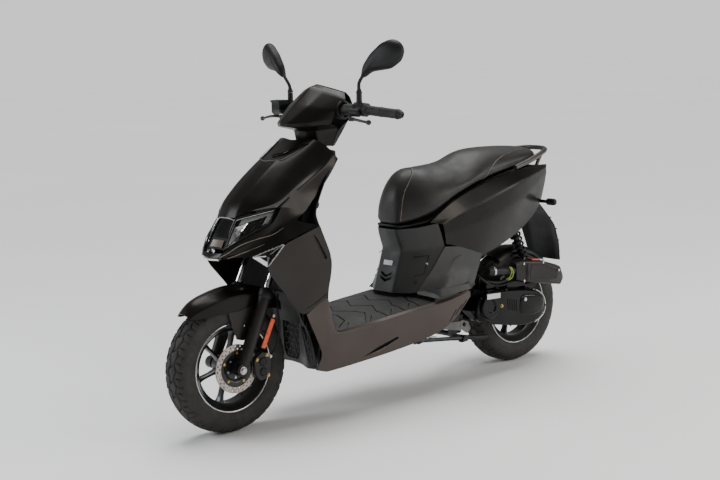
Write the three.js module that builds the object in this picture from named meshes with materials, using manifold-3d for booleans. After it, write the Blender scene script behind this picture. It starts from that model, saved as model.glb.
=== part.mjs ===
// Moped scooter, 50 cc class, standing on its two 10-inch wheels.
// Millimetres. +Z is up, the front wheel points along -Y and +X is the rider's left.
// The origin is on the ground, midway between the two axles.
import * as THREE from 'three';
import { mergeVertices } from 'three/addons/utils/BufferGeometryUtils.js';
import Module from 'manifold-3d';

const wasm = await Module();
wasm.setup();

// ---------------------------------------------------------------- driving dimensions
const WHEELBASE = 1310;
const TYRE_RADIUS = 217;
const TYRE_HALF_WIDTH = 51;
const TYRE_SEGMENTS = 32;
const RIM_RADIUS = 141;
const RIM_HALF_WIDTH = 42;
const DISC_RADIUS = 80;
const RAKE = THREE.MathUtils.degToRad(26.1);
const BAR_HEIGHT = 1010;
const BAR_CENTRE_Y = -220;
const FORK_OFFSET = 42;
const FORK_HALF_SPREAD = 81;
const GRIP_RADIUS = 16.5;
const BAR_RADIUS = 11;
const STEM_RADIUS = 13;
const PANEL = 3;
const FLOOR_THICKNESS = 8;
const LENS_THICKNESS = 24;
const BRACKET_THICKNESS = 5;
const GAP = 0.4;

const FRONT_AXLE = [0, -WHEELBASE / 2, TYRE_RADIUS];
const REAR_AXLE = [0, WHEELBASE / 2, TYRE_RADIUS];
const ENGINE_PIVOT = [0, 318, 300];
const SHOCK_TOP = [76, 606, 530];
const SHOCK_LOW = [78, 684, 330];

// ---------------------------------------------------------------- finishes
const finish = (color, roughness, metalness = 0) => ({ color, roughness, metalness });
const FINISH = {
  body: finish(0x2a2420, 0.35, 0.35),
  bronze: finish(0x4a423e, 0.38, 0.5),
  matte: finish(0x26282b, 0.75),
  frame: finish(0x17181a, 0.55, 0.2),
  rubber: finish(0x161616, 0.9),
  vinyl: finish(0x211d1a, 0.6),
  steel: finish(0xa9a19b, 0.35, 0.9),
  chrome: finish(0xd8d8d8, 0.12, 1),
  alloy: finish(0x8f8a85, 0.4, 0.8),
  engine: finish(0x141416, 0.3, 0.4),
  clear: finish(0xdfe4e8, 0.08),
  red: finish(0x8c1014, 0.2),
};

// ---------------------------------------------------------------- solids from geometry
function solidFromTriangles(points, faces) {
  const geometry = new THREE.BufferGeometry();
  geometry.setAttribute('position', new THREE.Float32BufferAttribute(points.flat(), 3));
  geometry.setIndex(faces.flat());
  return solidFromGeometry(geometry);
}

function solidFromGeometry(source) {
  const bare = source.clone();
  bare.deleteAttribute('normal');
  bare.deleteAttribute('uv');
  const merged = mergeVertices(bare, 1e-3);
  const index = Array.from(merged.index.array);
  const kept = [];
  for (let i = 0; i < index.length; i += 3) {
    const [a, b, c] = index.slice(i, i + 3);
    if (a !== b && b !== c && c !== a) kept.push(a, b, c);
  }
  const vertProperties = new Float32Array(merged.attributes.position.array);
  const make = (triVerts) => new wasm.Manifold(new wasm.Mesh({ numProp: 3, vertProperties, triVerts }));
  const solid = make(new Uint32Array(kept));
  if (solid.volume() > 0) return solid;
  for (let i = 0; i < kept.length; i += 3) [kept[i], kept[i + 1]] = [kept[i + 1], kept[i]];
  return make(new Uint32Array(kept));
}

const vector = (p) => new THREE.Vector3(...p);
const mix = (a, b, t) => a.map((value, i) => value + (b[i] - value) * t);
const mirrorX = (solid) => solid.mirror([1, 0, 0]);
const join = (...solids) => solids.reduce((sum, solid) => sum.add(solid));
const biggest = (solid) => solid.decompose().reduce((a, b) => (b.volume() > a.volume() ? b : a));

// A thin moulded panel. rows is a grid of points on its visible face; the thickness goes
// towards the point called inside. grow swells it on every side, for cutting clearance.
function panel(rows, inside, thickness = PANEL, grow = 0) {
  const grid = rows.map((row) => row.map(vector));
  const last = grid.length - 1;
  const width = grid[0].length - 1;
  if (grow > 0) {
    const stretch = (end, next) => end.clone().addScaledVector(end.clone().sub(next).normalize(), grow);
    for (const row of grid) {
      row[0] = stretch(row[0], row[1]);
      row[width] = stretch(row[width], row[width - 1]);
    }
    for (let j = 0; j <= width; j += 1) {
      grid[0][j] = stretch(grid[0][j], grid[1][j]);
      grid[last][j] = stretch(grid[last][j], grid[last - 1][j]);
    }
  }
  const at = (i, j) => grid[Math.min(Math.max(i, 0), last)][Math.min(Math.max(j, 0), width)];
  const normals = grid.map((row, i) => row.map((point, j) => {
    const along = at(i + 1, j).clone().sub(at(i - 1, j));
    const across = at(i, j + 1).clone().sub(at(i, j - 1));
    const normal = along.cross(across).normalize();
    const away = point.clone().sub(vector(inside));
    return normal.dot(away) < 0 ? normal.negate() : normal;
  }));
  const points = [];
  const faces = [];
  const count = (last + 1) * (width + 1);
  for (const offset of [grow, -thickness - grow]) {
    grid.forEach((row, i) => row.forEach((point, j) => {
      points.push(point.clone().addScaledVector(normals[i][j], offset).toArray());
    }));
  }
  const id = (i, j, side) => side * count + i * (width + 1) + j;
  const quad = (a, b, c, d) => faces.push([a, b, c], [a, c, d]);
  for (let i = 0; i < last; i += 1) {
    for (let j = 0; j < width; j += 1) {
      quad(id(i, j, 0), id(i + 1, j, 0), id(i + 1, j + 1, 0), id(i, j + 1, 0));
      quad(id(i, j, 1), id(i, j + 1, 1), id(i + 1, j + 1, 1), id(i + 1, j, 1));
    }
  }
  for (let i = 0; i < last; i += 1) {
    quad(id(i, 0, 0), id(i, 0, 1), id(i + 1, 0, 1), id(i + 1, 0, 0));
    quad(id(i, width, 0), id(i + 1, width, 0), id(i + 1, width, 1), id(i, width, 1));
  }
  for (let j = 0; j < width; j += 1) {
    quad(id(0, j, 0), id(0, j + 1, 0), id(0, j + 1, 1), id(0, j, 1));
    quad(id(last, j, 0), id(last, j, 1), id(last, j + 1, 1), id(last, j + 1, 0));
  }
  return solidFromTriangles(points, faces);
}

// Rows given for the left half, from the centre line outwards, made whole.
const bothSides = (rows) => rows.map((row) => {
  const right = row.slice(1).map(([x, y, z]) => [-x, y, z]).reverse();
  return [...right, ...row];
});

// A closed body through a list of rings with equal point counts, its ends capped flat.
function loft(rings) {
  const size = rings[0].length;
  const points = rings.flat();
  const faces = [];
  for (let i = 0; i < rings.length - 1; i += 1) {
    for (let j = 0; j < size; j += 1) {
      const a = i * size + j;
      const b = i * size + ((j + 1) % size);
      faces.push([a, b, b + size], [a, b + size, a + size]);
    }
  }
  const cap = (ring, start, flip) => {
    const centre = points.length;
    points.push([0, 1, 2].map((axis) => ring.reduce((sum, p) => sum + p[axis], 0) / size));
    for (let j = 0; j < size; j += 1) {
      const a = start + j;
      const b = start + ((j + 1) % size);
      faces.push(flip ? [centre, b, a] : [centre, a, b]);
    }
  };
  cap(rings[0], 0, true);
  cap(rings[rings.length - 1], (rings.length - 1) * size, false);
  return solidFromTriangles(points, faces);
}

// A ring of points around a centre, in the plane of the two directions u and v.
function oval(centre, u, v, count = 12) {
  const ring = [];
  for (let i = 0; i < count; i += 1) {
    const angle = (2 * Math.PI * i) / count;
    ring.push(centre.map((value, k) => value + u[k] * Math.cos(angle) + v[k] * Math.sin(angle)));
  }
  return ring;
}

// A straight round bar from a to b.
function rod(a, b, radius, sides = 12, endRadius = radius) {
  const along = vector(b).sub(vector(a));
  const geometry = new THREE.CylinderGeometry(endRadius, radius, along.length(), sides);
  const turn = new THREE.Quaternion().setFromUnitVectors(new THREE.Vector3(0, 1, 0),
    along.clone().normalize());
  geometry.applyQuaternion(turn);
  geometry.translate(...mix(a, b, 0.5));
  return solidFromGeometry(geometry);
}

// A bent round bar along a smooth curve through the points.
function bentTube(points, radius, sides = 12, steps = 16, tension = 0.4) {
  const path = new THREE.CatmullRomCurve3(points.map(vector), false, 'catmullrom', tension);
  const outline = new THREE.Path().absarc(0, 0, radius, 0, 2 * Math.PI);
  const section = new THREE.Shape(outline.getSpacedPoints(sides));
  const geometry = new THREE.ExtrudeGeometry(section, { steps, extrudePath: path, bevelEnabled: false });
  return solidFromGeometry(geometry);
}

// A ring or disc turned about the X axis through a centre; profile points are [radius, x].
function turnedX(profile, centre, segments = 32, turn = 0) {
  const points = profile.map(([radius, x]) => new THREE.Vector2(radius, x));
  const geometry = new THREE.LatheGeometry(points, segments);
  geometry.rotateZ(-Math.PI / 2);
  geometry.rotateX(turn);
  geometry.translate(...centre);
  return solidFromGeometry(geometry);
}

function block(low, high) {
  const size = high.map((value, i) => value - low[i]);
  const geometry = new THREE.BoxGeometry(...size);
  geometry.translate(...mix(low, high, 0.5));
  return solidFromGeometry(geometry);
}

// A flat outline in the Y-Z plane, pushed from x = from to x = to.
function slabX(outline, from, to) {
  const shape = new THREE.Shape(outline.map(([y, z]) => new THREE.Vector2(y, z)));
  const geometry = new THREE.ExtrudeGeometry(shape, { depth: to - from, bevelEnabled: false });
  const basis = new THREE.Matrix4().makeBasis(
    new THREE.Vector3(0, 1, 0), new THREE.Vector3(0, 0, 1), new THREE.Vector3(1, 0, 0));
  geometry.applyMatrix4(basis);
  geometry.translate(from, 0, 0);
  return solidFromGeometry(geometry);
}

// ---------------------------------------------------------------- steering geometry
const steerY = (z) => BAR_CENTRE_Y - (BAR_HEIGHT - z) * Math.tan(RAKE);
const steerPoint = (z, forward = 0, x = 0) => [x, steerY(z) - forward / Math.cos(RAKE), z];
const steerDirection = [0, Math.sin(RAKE), Math.cos(RAKE)];

// ---------------------------------------------------------------- the assembly
const solids = {};
const looks = {};
function add(name, look, solid) {
  solids[name] = solid;
  looks[name] = look;
}
function addPair(name, look, solid) {
  add(`${name}_left`, look, solid);
  add(`${name}_right`, look, mirrorX(solid));
}
function carve(name, ...tools) {
  solids[name] = biggest(tools.reduce((rest, tool) => rest.subtract(tool), solids[name]));
}

// ---------------------------------------------------------------- wheels
function tyre(centre) {
  const tread = TYRE_RADIUS;
  const wall = TYRE_HALF_WIDTH;
  const half = [[tread, 24], [tread - 9, 41], [tread - 28, wall], [tread - 52, wall - 2], [146, 43],
    [150, 38], [190, 40]];
  const other = half.map(([radius, x]) => [radius, -x]).reverse();
  const flat = Math.cos(Math.PI / TYRE_SEGMENTS);
  const profile = [...half, ...other, half[0]].map(([radius, x]) => [radius / flat, x]);
  return turnedX(profile, centre, TYRE_SEGMENTS, Math.PI / TYRE_SEGMENTS);
}

function rim(centre, hubHalfWidth, axleRadius) {
  const barrel = turnedX([
    [RIM_RADIUS + 4, RIM_HALF_WIDTH], [RIM_RADIUS - 4, RIM_HALF_WIDTH], [120, 20], [120, -20],
    [RIM_RADIUS - 4, -RIM_HALF_WIDTH], [RIM_RADIUS + 4, -RIM_HALF_WIDTH],
    [RIM_RADIUS + 4, -RIM_HALF_WIDTH + 5], [125, -18], [125, 18],
    [RIM_RADIUS + 4, RIM_HALF_WIDTH - 5], [RIM_RADIUS + 4, RIM_HALF_WIDTH],
  ], centre, 28);
  const hub = turnedX([
    [axleRadius, -hubHalfWidth], [30, -hubHalfWidth], [34, -16], [34, 16], [30, hubHalfWidth],
    [axleRadius, hubHalfWidth], [axleRadius, -hubHalfWidth],
  ], centre, 16);
  let wheel = join(barrel, hub);
  for (let k = 0; k < 6; k += 1) {
    const angle = THREE.MathUtils.degToRad(-14 + 60 * k);
    const out = [0, -Math.cos(angle), Math.sin(angle)];
    const side = [0, Math.sin(angle), Math.cos(angle)];
    const ring = (radius, halfDepth, halfBreadth) => {
      const middle = centre.map((value, i) => value + out[i] * radius);
      const corner = (sx, sb) => middle.map((value, i) =>
        value + side[i] * sb * halfBreadth + (i === 0 ? sx * halfDepth : 0));
      return [corner(-1, -1), corner(1, -1), corner(1, 1), corner(-1, 1)];
    };
    wheel = wheel.add(loft([ring(26, 14, 11), ring(75, 11, 7.5), ring(122.5, 13, 12)]));
  }
  return wheel;
}

add('front_tyre', 'rubber', tyre(FRONT_AXLE));
add('front_rim', 'frame', rim(FRONT_AXLE, 46, 8.2));
add('rear_tyre', 'rubber', tyre(REAR_AXLE));
add('rear_rim', 'frame', rim(REAR_AXLE, 44, 8.2));

// The disc bolts on the left of the front hub, on a dished carrier.
add('brake_disc', 'steel', turnedX([
  [16, 46.4], [38, 46.4], [40, 55], [DISC_RADIUS, 55], [DISC_RADIUS, 59],
  [37, 59], [34, 50], [16, 50], [16, 46.4],
], FRONT_AXLE, 28));

// ---------------------------------------------------------------- fork
function forkLeg(side) {
  const x = side * FORK_HALF_SPREAD;
  const low = [x, -652, 212];
  const top = [x, steerY(464) - FORK_OFFSET / Math.cos(RAKE), 464];
  const stages = [[0, 15], [0.3, 21], [0.92, 21], [0.94, 24], [1, 24]];
  const across = [0, Math.cos(RAKE), -Math.sin(RAKE)];
  const tube = loft(stages.map(([t, radius]) => (
    oval(mix(low, top, t), [radius, 0, 0], across.map((value) => value * radius), 14))));
  const boss = rod([x - 15, FRONT_AXLE[1], FRONT_AXLE[2]],
    [x + 15, FRONT_AXLE[1], FRONT_AXLE[2]], 20, 20);
  const bore = rod([x - 60, FRONT_AXLE[1], FRONT_AXLE[2]], [x + 60, FRONT_AXLE[1], FRONT_AXLE[2]], 7.5);
  const slide = rod(steerPoint(300, FORK_OFFSET, x), steerPoint(700, FORK_OFFSET, x), 14);
  return join(tube, boss).subtract(bore).subtract(slide);
}
add('fork_leg_left', 'frame', forkLeg(1));
add('fork_leg_right', 'frame', forkLeg(-1));

const axleRod = (axle, half, radius) => rod([-half, axle[1], axle[2]], [half, axle[1], axle[2]], radius);
const axleNut = (axle, from, to, radius) => rod([from, axle[1], axle[2]],
  [to, axle[1], axle[2]], radius, 6);
add('front_axle', 'steel', join(
  axleRod(FRONT_AXLE, 98, 7.1),
  axleNut(FRONT_AXLE, 97.6, 107, 12),
  axleNut(FRONT_AXLE, -107, -97.6, 12),
));

function stanchion(side) {
  const x = side * FORK_HALF_SPREAD;
  return rod(steerPoint(372, FORK_OFFSET, x), steerPoint(618, FORK_OFFSET, x), 13.5);
}
function forkUpper() {
  const clampRing = (z) => {
    const ring = [];
    for (const [x, forward] of [[-102, 20], [-102, 60], [-60, 64], [60, 64], [102, 60], [102, 20],
      [30, -24], [-30, -24]]) {
      ring.push(steerPoint(z - forward * Math.tan(RAKE) * Math.cos(RAKE), forward, x));
    }
    return ring;
  };
  const crown = loft([clampRing(596), clampRing(622)]);
  const stem = rod(steerPoint(600), steerPoint(985), STEM_RADIUS);
  return join(crown, stem, stanchion(1), stanchion(-1));
}
add('fork_upper', 'steel', forkUpper());

// The front mudguard: an arched top with side flaps that reach down to the fork legs.
function fender() {
  const ring = (y, z, half, drop, lean) => [
    [0, y, z], [half * 0.55, y + 2, z - 7], [half, y + lean * 0.3, z - 26],
    [half + 1, y + lean, z - drop],
  ];
  const rows = [
    ring(-813, 414, 26, 34, 4), ring(-780, 446, 44, 50, 8), ring(-726, 465, 54, 64, 12),
    ring(-670, 477, 57, 76, 14), ring(-622, 480, 58, 78, 10), ring(-560, 474, 57, 76, 4),
    ring(-500, 454, 54, 62, 2), ring(-462, 430, 50, 50, 0),
  ];
  const shell = panel(bothSides(rows), [0, -650, 217]);
  const flap = (side) => {
    const x = side * 59;
    return panel([
      [[x, -676, 404], [x, -640, 404], [x, -572, 412]],
      [[x, -664, 360], [x, -634, 360], [x, -590, 360]],
      [[x, -648, 312], [x, -628, 306], [x, -612, 306]],
    ], [0, -640, 360]);
  };
  return join(shell, flap(1), flap(-1));
}
add('front_fender', 'body', biggest(fender()));

add('brake_caliper', 'frame', join(
  slabX([[-598, 236], [-560, 262], [-528, 232], [-536, 176], [-572, 160], [-590, 180]], 62.5, 78),
  slabX([[-588, 232], [-560, 250], [-538, 228], [-544, 184], [-572, 172]], 36, 53.5),
  slabX([[-562, 255], [-545, 255], [-530, 225], [-536, 176], [-560, 168]], 36, 78)
    .subtract(turnedX([[0, 40], [DISC_RADIUS + 4, 40], [DISC_RADIUS + 4, 62.4],
      [0, 62.4]], FRONT_AXLE, 40)),
));

// ---------------------------------------------------------------- handlebar group
const GRIP_INNER = [205, -197, 1021];
const GRIP_OUTER = [330, -164, 1007];
const barAt = (t, side = 1) => {
  const [x, y, z] = mix(GRIP_INNER, GRIP_OUTER, t);
  return [side * x, y, z];
};
function handlebar() {
  const half = (side) => join(
    bentTube([[0, -222, 1006], [side * 50, -224, 1010], [side * 100, -221, 1020], barAt(-0.46, side),
      barAt(-0.4, side)],
      BAR_RADIUS - 1.5, 10, 7),
    rod(barAt(-0.5, side), barAt(1.05, side), BAR_RADIUS, 12),
    rod(barAt(1.02, side), barAt(1.13, side), 15, 14, 11),
  );
  const clamp = block([-24, -246, 988], [24, -198, 1022]);
  return join(half(1), half(-1), clamp)
    .subtract(rod(steerPoint(900), steerPoint(985.6), 13.5));
}
add('handlebar', 'frame', handlebar());

const barBore = (side) => rod(barAt(-0.44, side), barAt(1.2, side), BAR_RADIUS + 0.9, 16);
const gripShape = (side) => join(
  rod(barAt(0.035, side), barAt(0.075, side), 23, 14),
  rod(barAt(0.07, side), barAt(1.01, side), GRIP_RADIUS, 14),
).subtract(barBore(side));
add('grip_left', 'rubber', gripShape(1));
add('throttle_grip', 'rubber', gripShape(-1));

const BUTTON_RADIUS = 6;
const buttonRod = (side, from, to, radius) => {
  const [x, y, z] = barAt(-0.13, side);
  return rod([x, y + from, z], [x, y + to, z], radius, 12);
};
const button = (side) => buttonRod(side, 16.5, 26, BUTTON_RADIUS);
const buttonBore = (side) => buttonRod(side, 12.8, 40, BUTTON_RADIUS + 0.6);
function switchBody(side) {
  const barrel = rod(barAt(-0.3, side), barAt(0.03, side), 22, 16);
  const perch = join(
    rod([side * 176, -230, 1014], [side * 204, -222, 1012], 13),
    rod([side * 187, -204, 1040], [side * 187, -204, 1074], 9),
    rod([side * 187, -206, 1028], [side * 187, -204, 1042], 14),
  );
  return join(barrel, perch).subtract(barBore(side)).subtract(buttonBore(side));
}
add('switch_left', 'matte', switchBody(1));
add('switch_right', 'matte', switchBody(-1));
const reservoir = join(
  block([-222, -262, 1016], [-178, -226, 1046]),
  rod([-200, -240, 1010], [-196, -226, 1020], 10),
);
solids.switch_right = biggest(join(solids.switch_right, reservoir));

function leverBlade(side) {
  const path = [[196, -243, 998], [228, -262, 995], [262, -260, 990], [288, -254, 986]];
  const blade = bentTube(path.map(([x, y, z]) => [side * x, y, z]), 5.2, 6, 8);
  const ball = new THREE.SphereGeometry(8.5, 8, 6);
  ball.translate(side * 290, -254, 986);
  return join(blade, solidFromGeometry(ball), rod([side * 190, -243, 987],
    [side * 190, -243, 999], 9, 12));
}
add('brake_lever_left', 'alloy', leverBlade(1));
add('brake_lever_right', 'alloy', leverBlade(-1));

add('horn_button', 'frame', button(1));
add('starter_button', 'red', button(-1));

const mirrorToe = 0.22;
const mirrorY = (x) => -190 + mirrorToe * (x - 295);
function mirror() {
  const outline = [
    [209, 1121], [218, 1160], [254, 1203], [298, 1236], [333, 1246], [362, 1233], [374, 1209],
    [362, 1177], [322, 1152], [246, 1143],
  ];
  const middle = [292, 1192];
  const ring = (scale, push) => outline.map(([x, z]) => {
    const px = middle[0] + (x - middle[0]) * scale;
    return [px, mirrorY(px) + push, middle[1] + (z - middle[1]) * scale];
  });
  const head = loft([ring(0.97, 9), ring(1, 2), ring(0.9, -14), ring(0.55, -24)]);
  const stem = bentTube([[187, -204, 1074.6], [188, -205, 1095], [196, -208, 1112], [224, -208, 1142],
    [250, -206, 1162]], 6, 8, 8);
  const nut = rod([187, -204, 1074.5], [187, -204, 1084], 10, 6);
  return join(head, stem, nut);
}
addPair('mirror', 'frame', mirror());

// The handlebar cover: a faceted hood with round side openings for the bar.
function barCover() {
  const front = bothSides([
    [[0, -236, 1104], [38, -226, 1096], [70, -204, 1084], [100, -194, 1076]],
    [[0, -262, 1098], [52, -250, 1084], [92, -226, 1070], [124, -212, 1054]],
    [[0, -330, 1042], [50, -318, 1036], [86, -288, 1026], [118, -250, 1022]],
    [[0, -391, 990], [32, -380, 986], [76, -330, 984], [112, -258, 992]],
    [[0, -388, 976], [34, -374, 972], [72, -322, 970], [104, -262, 976]],
    [[0, -318, 956], [34, -312, 955], [58, -286, 955], [66, -246, 958]],
    [[0, -312, 905], [30, -304, 905], [50, -280, 903], [56, -240, 900]],
  ]);
  return panel(front, [0, -215, 1010]);
}
add('bar_cover', 'body', barCover());
function barCoverRear() {
  const rows = bothSides([
    [[0, -232, 1106], [38, -222, 1098], [70, -199, 1086], [101, -189, 1077]],
    [[0, -190, 1086], [40, -184, 1082], [76, -174, 1072], [106, -176, 1060]],
    [[0, -158, 1040], [44, -156, 1038], [82, -158, 1034], [112, -170, 1030]],
    [[0, -150, 990], [40, -150, 990], [76, -158, 990], [104, -176, 990]],
    [[0, -156, 950], [32, -158, 950], [54, -172, 948], [66, -200, 948]],
    [[0, -186, 902], [30, -190, 902], [48, -204, 900], [56, -222, 898]],
  ]);
  return panel(rows, [0, -222, 1010]);
}
add('dash', 'matte', barCoverRear());

// ---------------------------------------------------------------- front bodywork
const noseRows = bothSides([
  [[0, -352, 906], [55, -336, 925], [98, -322, 929], [128, -296, 902], [148, -283, 874],
   [152, -272, 862]],
  [[0, -462, 867], [50, -448, 869], [98, -398, 872], [130, -352, 856], [149, -330, 846],
   [152, -304, 826]],
  [[0, -540, 808], [50, -532, 808], [98, -486, 806], [132, -430, 800], [150, -401, 806],
   [155, -350, 778]],
  [[0, -600, 752], [50, -594, 750], [98, -556, 748], [132, -506, 748], [150, -470, 768],
   [160, -392, 744]],
  [[0, -630, 702], [46, -622, 703], [64, -606, 718], [112, -562, 728], [151, -528, 734],
   [168, -430, 712]],
]);

const chinRows = bothSides([
  [[0, -690, 594], [58, -684, 597], [96, -640, 634], [151, -558, 682], [156, -515, 733],
   [168, -430, 713]],
  [[0, -699, 582], [50, -690, 582], [92, -652, 606], [142, -576, 652], [160, -520, 676],
   [175, -471, 688]],
  [[0, -690, 572], [48, -680, 574], [84, -654, 582], [122, -622, 586], [190, -532, 626],
   [204, -412, 666]],
]);
add('front_cover', 'body', join(panel(noseRows, [0, -330, 760]), panel(chinRows, [0, -500, 640])));

// The headlight unit fills the opening between the nose and the chin, set back a little from both.
const headlightRows = bothSides([
  [[0, -621, 699], [45, -621, 699], [62, -605, 715], [108, -562, 725], [150, -530, 730]],
  [[0, -679, 600], [57, -679, 600], [75, -658, 618], [94, -636, 637], [148, -556, 684]],
]);
const headlightCentre = [0, -600, 665];
const setBack = ([x, y, z]) => {
  const [px, py, pz] = mix(headlightCentre, [x, y, z], 0.965);
  return [px, py + 4, pz];
};
add('headlight', 'clear', panel(headlightRows.map((row) => row.map(setBack)), [0, -400, 640],
  LENS_THICKNESS));

function frontIndicator() {
  const a = [122, -619, 582];
  const b = [189, -529, 623];
  const c = [175, -595, 551];
  const back = (p, amount) => [p[0] - amount * 0.75, p[1] + amount * 0.55, p[2]];
  return loft([[a, b, c].map((p) => back(p, 0)), [a, b, c].map((p) => back(p, 26))]);
}
addPair('indicator_front', 'clear', frontIndicator());

const shieldRows = [
  [[191, -527, 622], [202, -462, 645], [207, -404, 664]],
  [[177, -592, 549], [197, -480, 560], [209, -366, 556]],
  [[172, -540, 470], [189, -452, 476], [201, -366, 486]],
  [[166, -480, 389], [178, -450, 382], [190, -375, 426]],
];
addPair('leg_shield', 'body', panel(shieldRows, [0, -400, 520]));

const innerRows = bothSides([
  [[0, -190, 882], [50, -204, 881], [105, -246, 868], [147, -278, 855]],
  [[0, -232, 800], [52, -248, 800], [108, -296, 796], [149, -334, 788]],
  [[0, -282, 700], [54, -300, 700], [112, -350, 694], [160, -394, 686]],
  [[0, -306, 640], [56, -322, 640], [124, -356, 636], [196, -392, 660]],
  [[0, -320, 540], [58, -330, 540], [130, -348, 540], [203, -360, 548]],
  [[0, -326, 430], [58, -332, 430], [128, -344, 430], [185, -366, 424]],
  [[0, -322, 350], [58, -326, 348], [122, -334, 344], [168, -342, 336]],
]);
add('inner_leg_shield', 'matte', panel(innerRows, [0, -700, 560]));

// The lower front wall behind the wheel; its two slanted sides carry the air vents.
const splashRows = bothSides([
  [[0, -376, 545], [62, -378, 545], [118, -402, 540], [157, -452, 532]],
  [[0, -384, 480], [60, -386, 480], [116, -424, 474], [159, -474, 464]],
  [[0, -386, 400], [56, -390, 396], [112, -436, 390], [160, -474, 386]],
  [[0, -386, 290], [52, -390, 288], [106, -420, 284], [160, -428, 282]],
  [[0, -384, 182], [48, -386, 180], [100, -400, 177], [146, -400, 181]],
]);
const splash = (grow = 0) => panel(splashRows, [0, 300, 400], PANEL, grow);
add('splash_panel', 'matte', splash());

// ---------------------------------------------------------------- floor and skirts
const skirtRows = [
  [[176, -451, 377], [190, -373, 423], [180, -338, 306], [175, -150, 312], [176, 0, 324],
   [178, 147, 334], [184, 262, 352]],
  [[180, -411, 276], [187, -368, 300], [186, -326, 294], [186, -150, 302], [187, 0, 314],
   [189, 150, 324], [188, 270, 346]],
  [[164, -388, 226], [172, -364, 230], [176, -330, 236], [178, -190, 240], [178, -20, 252],
   [184, 152, 280], [187, 272, 336]],
  [[150, -404, 179], [158, -366, 168], [162, -330, 170], [165, -220, 177], [165, -44, 191],
   [178, 155, 232], [184, 274, 326]],
];
addPair('side_skirt', 'bronze', panel(skirtRows, [0, 0, 260]));

const floorRows = bothSides([
  [[0, -316, 322], [60, -318, 320], [130, -326, 309], [169, -334, 299]],
  [[0, -200, 326], [60, -200, 325], [130, -200, 318], [171, -200, 306]],
  [[0, -60, 338], [60, -60, 338], [130, -60, 330], [171, -60, 316]],
  [[0, 60, 350], [60, 60, 349], [130, 60, 342], [172, 60, 326]],
  [[0, 118, 352], [60, 118, 351], [130, 118, 344], [173, 118, 331]],
]);
add('floorboard', 'matte', panel(floorRows, [0, -100, 0], FLOOR_THICKNESS));

// ---------------------------------------------------------------- body under the seat
const tunnelRows = bothSides([
  [[0, 48, 576], [49, 53, 576], [100, 104, 578], [132, 150, 580]],
  [[0, 52, 560], [49, 56, 560], [102, 112, 556], [138, 170, 550]],
  [[0, 69, 508], [52, 73, 507], [108, 126, 506], [147, 190, 514]],
  [[0, 44, 430], [50, 48, 430], [106, 96, 430], [136, 134, 436]],
  [[0, 20, 362], [49, 24, 361], [92, 52, 360], [122, 76, 362]],
]);
const tunnel = (grow = 0) => panel(tunnelRows, [0, 250, 470], PANEL, grow);
add('tunnel_cover', 'matte', tunnel());

const sideRows = [
  [[149, 192, 513], [152, 260, 506], [152, 322, 492], [150, 372, 464]],
  [[138, 136, 437], [160, 224, 430], [163, 290, 420], [154, 352, 424]],
  [[124, 80, 370], [174, 150, 366], [186, 240, 362], [160, 322, 372]],
  [[128, 70, 360], [188, 118, 342], [190, 262, 356], [164, 318, 360]],
];
addPair('side_panel', 'matte', panel(sideRows, [0, 230, 430]));

const tailRows = [
  [[130, 140, 603], [138, 236, 660], [134, 346, 698], [126, 460, 724], [112, 590, 742], [94, 700, 750],
   [76, 800, 746]],
  [[150, 184, 594], [157, 300, 630], [155, 424, 660], [147, 541, 690], [128, 640, 712], [104, 720, 724],
   [80, 794, 734]],
  [[153, 190, 560], [158, 300, 570], [156, 420, 590], [144, 545, 620], [122, 650, 655], [98, 735, 690],
   [76, 798, 712]],
  [[151, 196, 522], [153, 290, 494], [148, 379, 462], [121, 533, 490], [94, 662, 534], [78, 752, 594],
   [71, 794, 676]],
];
const tail = (grow = 0) => panel(tailRows, [0, 450, 600], PANEL, grow);
addPair('tail_fairing', 'body', tail());

add('tail_light', 'red', loft([
  [[-66, 800, 742], [66, 800, 742], [60, 806, 690], [-60, 806, 690]],
  [[-66, 778, 742], [66, 778, 742], [60, 778, 690], [-60, 778, 690]],
]));

// The seat: a long padded saddle with a raised pillion step.
function seatShape() {
  const stations = [
    [50, 594, 640, 52, 40], [62, 592, 706, 64, 46], [92, 593, 762, 82, 52], [136, 604, 790, 120, 66],
    [190, 626, 790, 138, 84], [250, 668, 785, 144, 96], [310, 690, 786, 142, 96], [370, 708, 802, 138, 92],
    [425, 720, 828, 132, 86], [480, 731, 836, 127, 82], [580, 746, 834, 116, 76],
    [690, 761, 828, 98, 68], [772, 776, 814, 78, 56],
  ];
  const rings = stations.map(([y, low, high, halfLow, halfHigh]) => {
    const tall = high - low;
    const half = [[halfLow * 0.9, low], [halfLow, low + tall * 0.15], [halfLow * 0.97, low + tall * 0.5],
      [halfHigh, low + tall * 0.86], [halfHigh * 0.55, high - 3]];
    const right = half.map(([x, z]) => [-x, y, z]).reverse();
    return [...half.map(([x, z]) => [x, y, z]), [0, y, high], ...right];
  });
  return loft(rings);
}
add('seat', 'vinyl', seatShape());

const railPost = (side) => bentTube([[side * 52, 810, 803], [side * 55, 788, 778], [side * 56, 756, 728],
  [side * 56, 746, 690]], 7, 6, 4);
add('grab_rail', 'bronze', bentTube(
  [[129, 574, 756], [122, 640, 769], [108, 710, 785], [88, 776, 799], [50, 812, 804], [0, 820, 805],
    [-50, 812, 804], [-88, 776, 799], [-108, 710, 785], [-122, 640, 769], [-129, 574, 756]],
  9, 6, 18,
).add(railPost(1)).add(railPost(-1)));

// The storage bucket under the seat, open at the top.
function bucket() {
  const ring = (z, half, front, rear) => [[-half, front, z], [half, front, z], [half, rear, z],
    [-half, rear, z]];
  const slope = (ringPoints, rise) => ringPoints.map(([x, y, z], i) => [x, y, z + (i > 1 ? rise : 0)]);
  const outer = loft([ring(430, 88, 150, 400), slope(ring(586, 104, 140, 470), 96)]);
  const hollow = loft([ring(434, 84, 154, 396), slope(ring(600, 101.5, 143, 467), 96)]);
  return outer.subtract(hollow);
}
add('seat_bucket', 'frame', bucket());

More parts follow.
